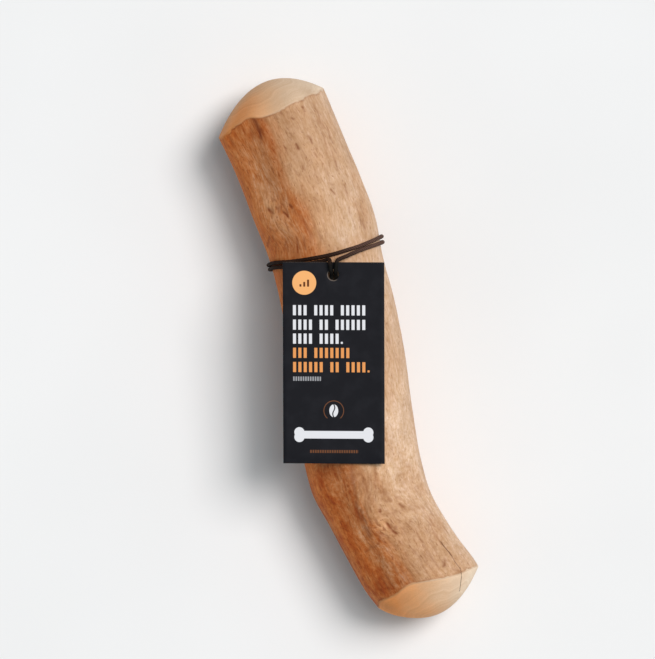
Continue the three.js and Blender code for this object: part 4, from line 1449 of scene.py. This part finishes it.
def wood_material():
    """The side, darkened where it is spoiled and where shade is painted, gives way to the sanded end by the
    stored mask, and the crack's brown lies over both."""
    made, tree, shader = new_material("peeled_coffee_wood")
    steady = stored(tree, "grain", "Vector")
    place = wavering(tree, steady)
    layers = streak_layers(tree, place)
    left = stretch(tree, stored(tree, "warmth"), *LEFT_TINT)
    spoiled_and_shaded = spoiled_and_shaded_mask(tree, place)
    side = side_colour(tree, steady, place, layers, left)
    side = blend(tree, spoiled_and_shaded, side, MARK_AND_SHADE_TINT, "MULTIPLY")
    colour = blend(tree, stored(tree, "sanded"), side, end_colour(tree, steady))
    colour = blend(tree, stretch(tree, stored(tree, "split"), SPLIT_FROM, SPLIT_TO), colour, SPLIT_BROWN)
    roughness = by_noise(tree, layers["fibres"], 0.6, 0.75)
    height = wood_height(tree, layers, spoiled_and_shaded, left)
    finish_shader(tree, shader, colour, roughness, height, specular=0.22, strength=0.6, depth=0.2 * MM)
    return made


cover(branch, wood_material())

# %% [markdown]
# ## The waxed cord
#
# The twine is dark brown and shines only a little with wax. The grooves between its strands are painted
# darker, as painted shade, and the crowns are painted paler towards the right, which faces the light, as
# painted light. Where it goes through the tag it is almost black. The stored lobe says where on a strand a
# point lies.

# %% The cord's material
# The groove colour is painted shade, and the pale crown colour towards the right is painted light.
CORD_CROWN = srgb(44, 26, 17)
CORD_GROOVE = srgb(22, 12, 8)
CORD_BLACK = srgb(22, 20, 18)
CORD_LIT_CROWN = srgb(98, 73, 63)
CORD_NOISE_SIZE, CORD_NOISE_SWING = 3 * MM, 0.5
FUZZ_SIZE = 0.25 * MM
GROOVE_LOBE, CROWN_LOBE = 0.1, 0.8  # a groove ends and a crown begins at these values of the lobe
LIT_FROM, LIT_TO = 7 * MM, 29 * MM  # along the frame's X
LIT_MOST = 0.95
BLACK_BELOW, BROWN_ABOVE = 33.4 * MM, 35.2 * MM  # along the frame's Y


def cord_material():
    """Groove and crown are mixed by the stored lobe, the groove's dark being painted shade; the crown gets
    paler along X, painted light, with noise that makes it uneven, and where the cord runs through the tag
    it is black."""
    made, tree, shader = new_material("brown_waxed_cord")
    place = add(tree, "TexCoord").outputs["Object"]
    apart = add(tree, "SeparateXYZ", {}, {0: place})
    cord_noise = noise(tree, place, 1 / CORD_NOISE_SIZE, 3.0)
    lit_right = stretch(tree, apart.outputs[0], LIT_FROM, LIT_TO, 0.0, LIT_MOST)
    lit_right = calculate(tree, "ADD", lit_right, swing(tree, cord_noise, CORD_NOISE_SWING), clamp=True)
    crown = blend(tree, lit_right, CORD_CROWN, CORD_LIT_CROWN)
    lobe = stretch(tree, stored(tree, "lobe"), GROOVE_LOBE, CROWN_LOBE)
    colour = blend(tree, lobe, CORD_GROOVE, crown)
    brown = stretch(tree, apart.outputs[1], BLACK_BELOW, BROWN_ABOVE)
    colour = blend(tree, brown, CORD_BLACK, colour)
    roughness = by_noise(tree, cord_noise, 0.6, 0.75)
    fuzz = noise(tree, place, 1 / FUZZ_SIZE)
    finish_shader(tree, shader, colour, roughness, fuzz, specular=0.08, strength=0.4, depth=0.06 * MM)
    return made


waxed = cord_material()
cover(cord, waxed)
cover(knot, waxed)

# %% [markdown]
# ## The card and its print
#
# The card is printed a soft black all over, and its cut edges show a paler core. The print is plain: rows
# of upright dashes in white and orange, an orange disc with three rising bars, a ring round a coffee
# bean, and a bone. At the hole's lower left, whose wall faces the light, the front is painted paler, as
# painted light. Each mark is a smooth mask worked out from its distance to a shape, so it stays sharp at
# any size.

# %% Shapes of ink
INK_EDGE = 0.05 * MM


def bar_group():
    """A rounded bar: the distance from a place to it is the length of what sticks out of its inner
    rectangle, less its corner radius; the mask is 1 where that distance is below zero."""
    inputs = {"Place": "Vector", "Middle": "Vector", "Inner Half Size": "Vector", "Corner": "Float"}
    tree, given, result = new_group("rounded_bar", inputs, "Mask")
    away = vector_sum(tree, "SUBTRACT", given.outputs["Place"], given.outputs["Middle"])
    away = vector_sum(tree, "MULTIPLY", away, (1.0, 1.0, 0.0))
    away = vector_sum(tree, "ABSOLUTE", away)
    away = vector_sum(tree, "SUBTRACT", away, given.outputs["Inner Half Size"])
    away = vector_sum(tree, "MAXIMUM", away)
    distance = calculate(tree, "SUBTRACT", vector_sum(tree, "LENGTH", away), given.outputs["Corner"])
    tree.links.new(stretch(tree, distance, INK_EDGE, -INK_EDGE), result.inputs["Mask"])
    return tree


BAR = bar_group()


def bar(tree, place, middle_at, size, corner):
    """The mask of one rounded bar, with its middle, full size and corner radius in millimetres."""
    half = (size[0] / 2 - corner, size[1] / 2 - corner)
    made = add(tree, "Group", {"node_tree": BAR}, {
        "Place": place,
        "Middle": (middle_at[0] * MM, middle_at[1] * MM, 0.0),
        "Inner Half Size": (half[0] * MM, half[1] * MM, 0.0),
        "Corner": corner * MM,
    })
    return made.outputs["Mask"]


def round_bar(tree, place, middle_at, radius):
    """A disc: a bar whose corners are as large as they can be."""
    return bar(tree, place, middle_at, (2 * radius, 2 * radius), radius - 0.01)


# %% [markdown]
# Dashes come in groups. A row is one bar for each group, cut into upright dashes by a comb of stripes that
# runs across the whole card. The comb and the bars start at the same left edge, so no dash is cut
# short. Two more rows, one below these and one near the card's foot, are cut by a finer comb.

# %% Rows of upright dashes
PRINT_LEFT = -16.0  # all of these are in millimetres
DASH_PITCH, DASH_WIDTH = 2.1, 1.2
SMALL_PITCH, SMALL_WIDTH = 0.95, 0.6
ROW_HEIGHT = 4.0
WHITE_ROWS = ((-14.0, (3, 4, 5)), (-19.7, (4, 2, 6)), (-25.2, (4, 4)))  # up, dashes in each group
ORANGE_ROWS = ((-30.8, (3, 7)), (-36.4, (6, 2, 4)))
SMALL_ROW_AT, SMALL_ROW_SIZE = (-10.5, -41.0), (11.0, 1.7)
FOOT_ROW_AT, FOOT_ROW_SIZE = (0.0, -69.7), (19.4, 1.2)


def comb(tree, place, pitch, width):
    """Upright stripes of that width, one at the start of each pitch, counted from the left edge."""
    right = add(tree, "SeparateXYZ", {}, {0: place}).outputs[0]
    from_left = calculate(tree, "SUBTRACT", right, PRINT_LEFT * MM)
    within = calculate(tree, "FRACT", calculate(tree, "DIVIDE", from_left, pitch * MM))
    edge = INK_EDGE / MM / pitch
    return stretch(tree, within, width / pitch + edge, width / pitch - edge)


def dash_row(tree, place, up, groups):
    """One row: a bar for each group, as wide as its dashes, with a gap of one dash before the next."""
    masks, start = [], PRINT_LEFT
    for count in groups:
        width = (count - 1) * DASH_PITCH + DASH_WIDTH
        masks.append(bar(tree, place, (start + width / 2, up), (width + 0.1, ROW_HEIGHT), 0.15))
        start += (count + 1) * DASH_PITCH
    return calculate(tree, "MAXIMUM", *masks)


def dash_rows(tree, place, rows, stripes):
    """Several rows cut into dashes, and a small dot after the last group, at the foot of its dashes."""
    bars = calculate(tree, "MAXIMUM", *[dash_row(tree, place, up, groups) for up, groups in rows])
    up, groups = rows[-1]
    right = PRINT_LEFT + (sum(groups) + len(groups) - 1) * DASH_PITCH + 0.35
    dot = bar(tree, place, (right, up - ROW_HEIGHT / 2 + 0.4), (0.8, 0.8), 0.15)
    return calculate(tree, "MAXIMUM", calculate(tree, "MULTIPLY", bars, stripes), dot)


# %% [markdown]
# The emblem is drawn from formulas too: a thin ring that is open at its foot, and a coffee bean, which is
# an ellipse with a curved slit down its middle. The bone and the disc's bars are made of rounded bars.

# %% Emblem, bone and disc
EMBLEM_UP = -53.6
RING_RADIUS, RING_WIDTH = 3.9, 0.3
RING_FOOT = -2.9  # the ring is open below this
BEAN_SIZE = (1.75, 2.5)  # half its width and half its height
BEAN_EDGE = (1.05, 0.95)  # of the ellipse's formula, which is one on its line
SLIT_SWAY = 0.4  # how far the slit bends
SLIT_HALF = (0.18, 0.28)  # no ink up to this far from its line, full ink from that far on
BONE_UP, BONE_REACH, BONE_WIDTH = -63.1, 13.6, 3.0
KNUCKLE, KNUCKLE_UP = 2.0, 0.95
DISC_AT, DISC_RADIUS = (-11.5, -3.2), 4.72
RISING_AT, RISING_SIZE = (0.0, -0.6), (0.8, 1.9)  # the middle bar, from the disc's middle
RISING_PITCH, RISING_TALLER = 1.5, 0.9


def emblem_masks(tree, place):
    """The ring is where the distance from its middle is near its radius, above its foot. The bean is what
    lies in an ellipse, except for a slit along a sine curve."""
    centred = vector_sum(tree, "SUBTRACT", place, (0.0, EMBLEM_UP * MM, 0.0))
    apart = add(tree, "SeparateXYZ", {}, {0: centred})
    right, up = apart.outputs[0], apart.outputs[1]
    flat = add(tree, "CombineXYZ", {}, {0: right, 1: up}).outputs[0]
    from_ring = calculate(tree, "SUBTRACT", vector_sum(tree, "LENGTH", flat), RING_RADIUS * MM)
    from_ring = calculate(tree, "SUBTRACT", calculate(tree, "ABSOLUTE", from_ring), RING_WIDTH / 2 * MM)
    ring = stretch(tree, from_ring, INK_EDGE, -INK_EDGE)
    ring = calculate(tree, "MULTIPLY", ring, stretch(tree, up, (RING_FOOT - 0.1) * MM, RING_FOOT * MM))
    across = calculate(tree, "POWER", calculate(tree, "DIVIDE", right, BEAN_SIZE[0] * MM), 2.0)
    upright = calculate(tree, "POWER", calculate(tree, "DIVIDE", up, BEAN_SIZE[1] * MM), 2.0)
    inside = stretch(tree, calculate(tree, "ADD", across, upright), *BEAN_EDGE)
    wave = calculate(tree, "SINE", calculate(tree, "MULTIPLY", up, np.pi / (BEAN_SIZE[1] * MM)))
    slit = calculate(tree, "SUBTRACT", right, calculate(tree, "MULTIPLY", wave, SLIT_SWAY * MM))
    clear = stretch(tree, calculate(tree, "ABSOLUTE", slit), SLIT_HALF[0] * MM, SLIT_HALF[1] * MM)
    return ring, calculate(tree, "MULTIPLY", inside, clear)


def bone_mask(tree, place):
    """A bone: a thick bar with two round knuckles at each end."""
    parts = [bar(tree, place, (0.0, BONE_UP), (2 * BONE_REACH, BONE_WIDTH), 0.5)]
    for right in (-BONE_REACH, BONE_REACH):
        for up in (BONE_UP + KNUCKLE_UP, BONE_UP - KNUCKLE_UP):
            parts.append(round_bar(tree, place, (right, up), KNUCKLE))
    return calculate(tree, "MAXIMUM", *parts)


def rising_mask(tree, place):
    """Three bars on the disc, each taller than the one before and standing on the same line."""
    bars = []
    for step in (-1, 0, 1):
        right = DISC_AT[0] + RISING_AT[0] + RISING_PITCH * step
        up = DISC_AT[1] + RISING_AT[1] + RISING_TALLER / 2 * step
        size = (RISING_SIZE[0], RISING_SIZE[1] + RISING_TALLER * step)
        bars.append(bar(tree, place, (right, up), size, 0.2))
    return calculate(tree, "MAXIMUM", *bars)


# %% The printed front
CARD_BLACK = srgb(25, 25, 30)
CARD_SOFT_BLACK = srgb(30, 30, 35)
CARD_CORE = srgb(150, 130, 112)
# The pale colour at the hole's lower left is painted light: the light that falls on the hole's wall there.
HOLE_LIGHT_COLOUR = srgb(112, 100, 92)
INK_WHITE = srgb(232, 232, 236)
INK_ORANGE = srgb(236, 158, 92)
DISC_ORANGE = srgb(250, 182, 116)
DISC_BROWN = srgb(100, 52, 28)
INK_DIM = srgb(120, 76, 50)
INK_GREY = srgb(160, 160, 164)


def printed_front(tree, place, paper):
    """The front's colour: each ink covers what is under it where its mask is 1."""
    stripes = comb(tree, place, DASH_PITCH, DASH_WIDTH)
    small_stripes = comb(tree, place, SMALL_PITCH, SMALL_WIDTH)
    white_rows = dash_rows(tree, place, WHITE_ROWS, stripes)
    ring, bean = emblem_masks(tree, place)
    small_row = bar(tree, place, SMALL_ROW_AT, SMALL_ROW_SIZE, 0.2)
    foot_row = bar(tree, place, FOOT_ROW_AT, FOOT_ROW_SIZE, 0.2)
    inks = (
        (calculate(tree, "MAXIMUM", white_rows, bone_mask(tree, place), bean), INK_WHITE),
        (dash_rows(tree, place, ORANGE_ROWS, stripes), INK_ORANGE),
        (round_bar(tree, place, DISC_AT, DISC_RADIUS), DISC_ORANGE),
        (rising_mask(tree, place), DISC_BROWN),
        (ring, INK_DIM),
        (calculate(tree, "MULTIPLY", small_row, small_stripes), INK_GREY),
        (calculate(tree, "MULTIPLY", foot_row, small_stripes), INK_DIM),
    )
    colour = paper
    for mask, ink in inks:
        colour = blend(tree, mask, colour, ink)
    return colour


# %% The card's material
MOTTLE_SIZE, FIBRE_SIZE = 6 * MM, 0.35 * MM
PRINT_ENDS = (-0.02 * MM, -0.005 * MM)  # plain black below this height, the whole print above that
CORE_DEPTH = (0.1 * MM, 0.16 * MM)  # the core begins and is complete this far under both faces
HOLE_LIGHT_FROM, HOLE_LIGHT_TO = 0.45 * MM, 0.25 * MM  # distance from the hole's wall
HOLE_LIGHT_SIDE = (0.5 * MM, -2 * MM)  # the painted light begins and is complete where right plus up is this


def hole_light_mask(tree, place):
    """Painted light at the hole: close round the hole, and fading in towards its lower left, whose wall
    faces the light.
    """
    flat = vector_sum(tree, "MULTIPLY", place, (1.0, 1.0, 0.0))
    near = stretch(tree, vector_sum(tree, "LENGTH", flat), HOLE_RADIUS + HOLE_LIGHT_FROM, HOLE_RADIUS + HOLE_LIGHT_TO)
    apart = add(tree, "SeparateXYZ", {}, {0: place})
    low_left = calculate(tree, "ADD", apart.outputs[0], apart.outputs[1])
    return calculate(tree, "MULTIPLY", near, stretch(tree, low_left, *HOLE_LIGHT_SIDE))


def card_material():
    """Soft black card, with its print on the front alone, painted light at the hole, and a paler core that
    shows in the middle of the cut edge. How deep a point lies under the front tells these apart."""
    made, tree, shader = new_material("printed_black_card")
    place = stored(tree, "flat", "Vector")
    out = add(tree, "SeparateXYZ", {}, {0: place}).outputs[2]
    mottle = noise(tree, place, 1 / MOTTLE_SIZE)
    black = blend(tree, stretch(tree, mottle, 0.4, 0.7), CARD_BLACK, CARD_SOFT_BLACK)
    front = blend(tree, hole_light_mask(tree, place), printed_front(tree, place, black), HOLE_LIGHT_COLOUR)
    colour = blend(tree, stretch(tree, out, *PRINT_ENDS), black, front)
    begins, complete = CORE_DEPTH
    below_front = stretch(tree, out, -begins, -complete)
    above_back = stretch(tree, out, begins - TAG_THICKNESS, complete - TAG_THICKNESS)
    colour = blend(tree, calculate(tree, "MULTIPLY", below_front, above_back), colour, CARD_CORE)
    fibre = streaks(tree, place, FIBRE_SIZE, 2.0, 3.0)
    roughness = by_noise(tree, fibre, 0.55, 0.68)
    finish_shader(tree, shader, colour, roughness, fibre, specular=0.12, strength=0.25, depth=0.03 * MM)
    return made


cover(card, card_material())

# %% [markdown]
# ## Table and light
#
# The table is plain and pale. A tall soft light stands on the upper right, as the shadow on the left of
# the stick shows, and an even pale sky fills the rest. Two wide suns, one over the other, make that
# light: a sun gives the table the same brightness everywhere, which a lamp near by would not. The suns
# are a trace warm and the sky is bluer, because only the sky and the light from the orange wood reach
# the shadow, and together they leave it grey.

# %% Table
TABLE_HALF = 3.0
TABLE_GREY, TABLE_PALE = srgb(236, 236, 236), srgb(239, 239, 239)


def build_table():
    """A square round the origin, in faint clouds of two greys."""
    corners = TABLE_HALF * np.array([(-1, -1, 0), (1, -1, 0), (1, 1, 0), (-1, 1, 0)], float)
    mesh = bpy.data.meshes.new("table")
    mesh.from_pydata(corners.tolist(), [], [(0, 1, 2, 3)])
    made = bpy.data.objects.new("table", mesh)
    bpy.context.scene.collection.objects.link(made)
    material, tree, shader = new_material("pale_table")
    place = add(tree, "TexCoord").outputs["Object"]
    cloud = noise(tree, place, 8.0)
    colour = blend(tree, by_noise(tree, cloud), TABLE_GREY, TABLE_PALE)
    tree.links.new(colour, shader.inputs["Base Color"])
    shader.inputs["Roughness"].default_value = 0.9
    cover(made, material)


build_table()

# %% Light
SUN_DIRECTION = 34  # degrees, round from the picture's right
SUN_WIDTH = 28  # degrees
SUNS = {
    # name: height in degrees, share of an even light
    "low_window": (56, 0.50),
    "high_window": (71, 0.24),
}
SUN_COLOUR = (1.059, 0.998, 0.972)
SKY_COLOUR = (0.8, 0.982, 1.06, 1.0)
SKY_STRENGTH = 0.32


def build_light():
    """A sun's strength is its share of an even light, whose strength over the table is pi."""
    for name, (height, share) in SUNS.items():
        sun_data = bpy.data.lights.new(name, "SUN")
        sun_data.energy = share * np.pi / np.sin(np.radians(height))
        sun_data.angle = np.radians(SUN_WIDTH)
        sun_data.color = SUN_COLOUR
        sun = bpy.data.objects.new(name, sun_data)
        sun.rotation_euler = (0.0, np.radians(90 - height), np.radians(SUN_DIRECTION) + ROLL)
        bpy.context.scene.collection.objects.link(sun)
        print(f"{name}: strength {sun_data.energy:.2f}")
    world = bpy.data.worlds.new("studio")
    world.use_nodes = True
    sky = world.node_tree.nodes["Background"]
    sky.inputs["Color"].default_value = SKY_COLOUR
    sky.inputs["Strength"].default_value = SKY_STRENGTH
    bpy.context.scene.world = world
    bpy.context.scene.view_settings.view_transform = "Standard"


build_light()
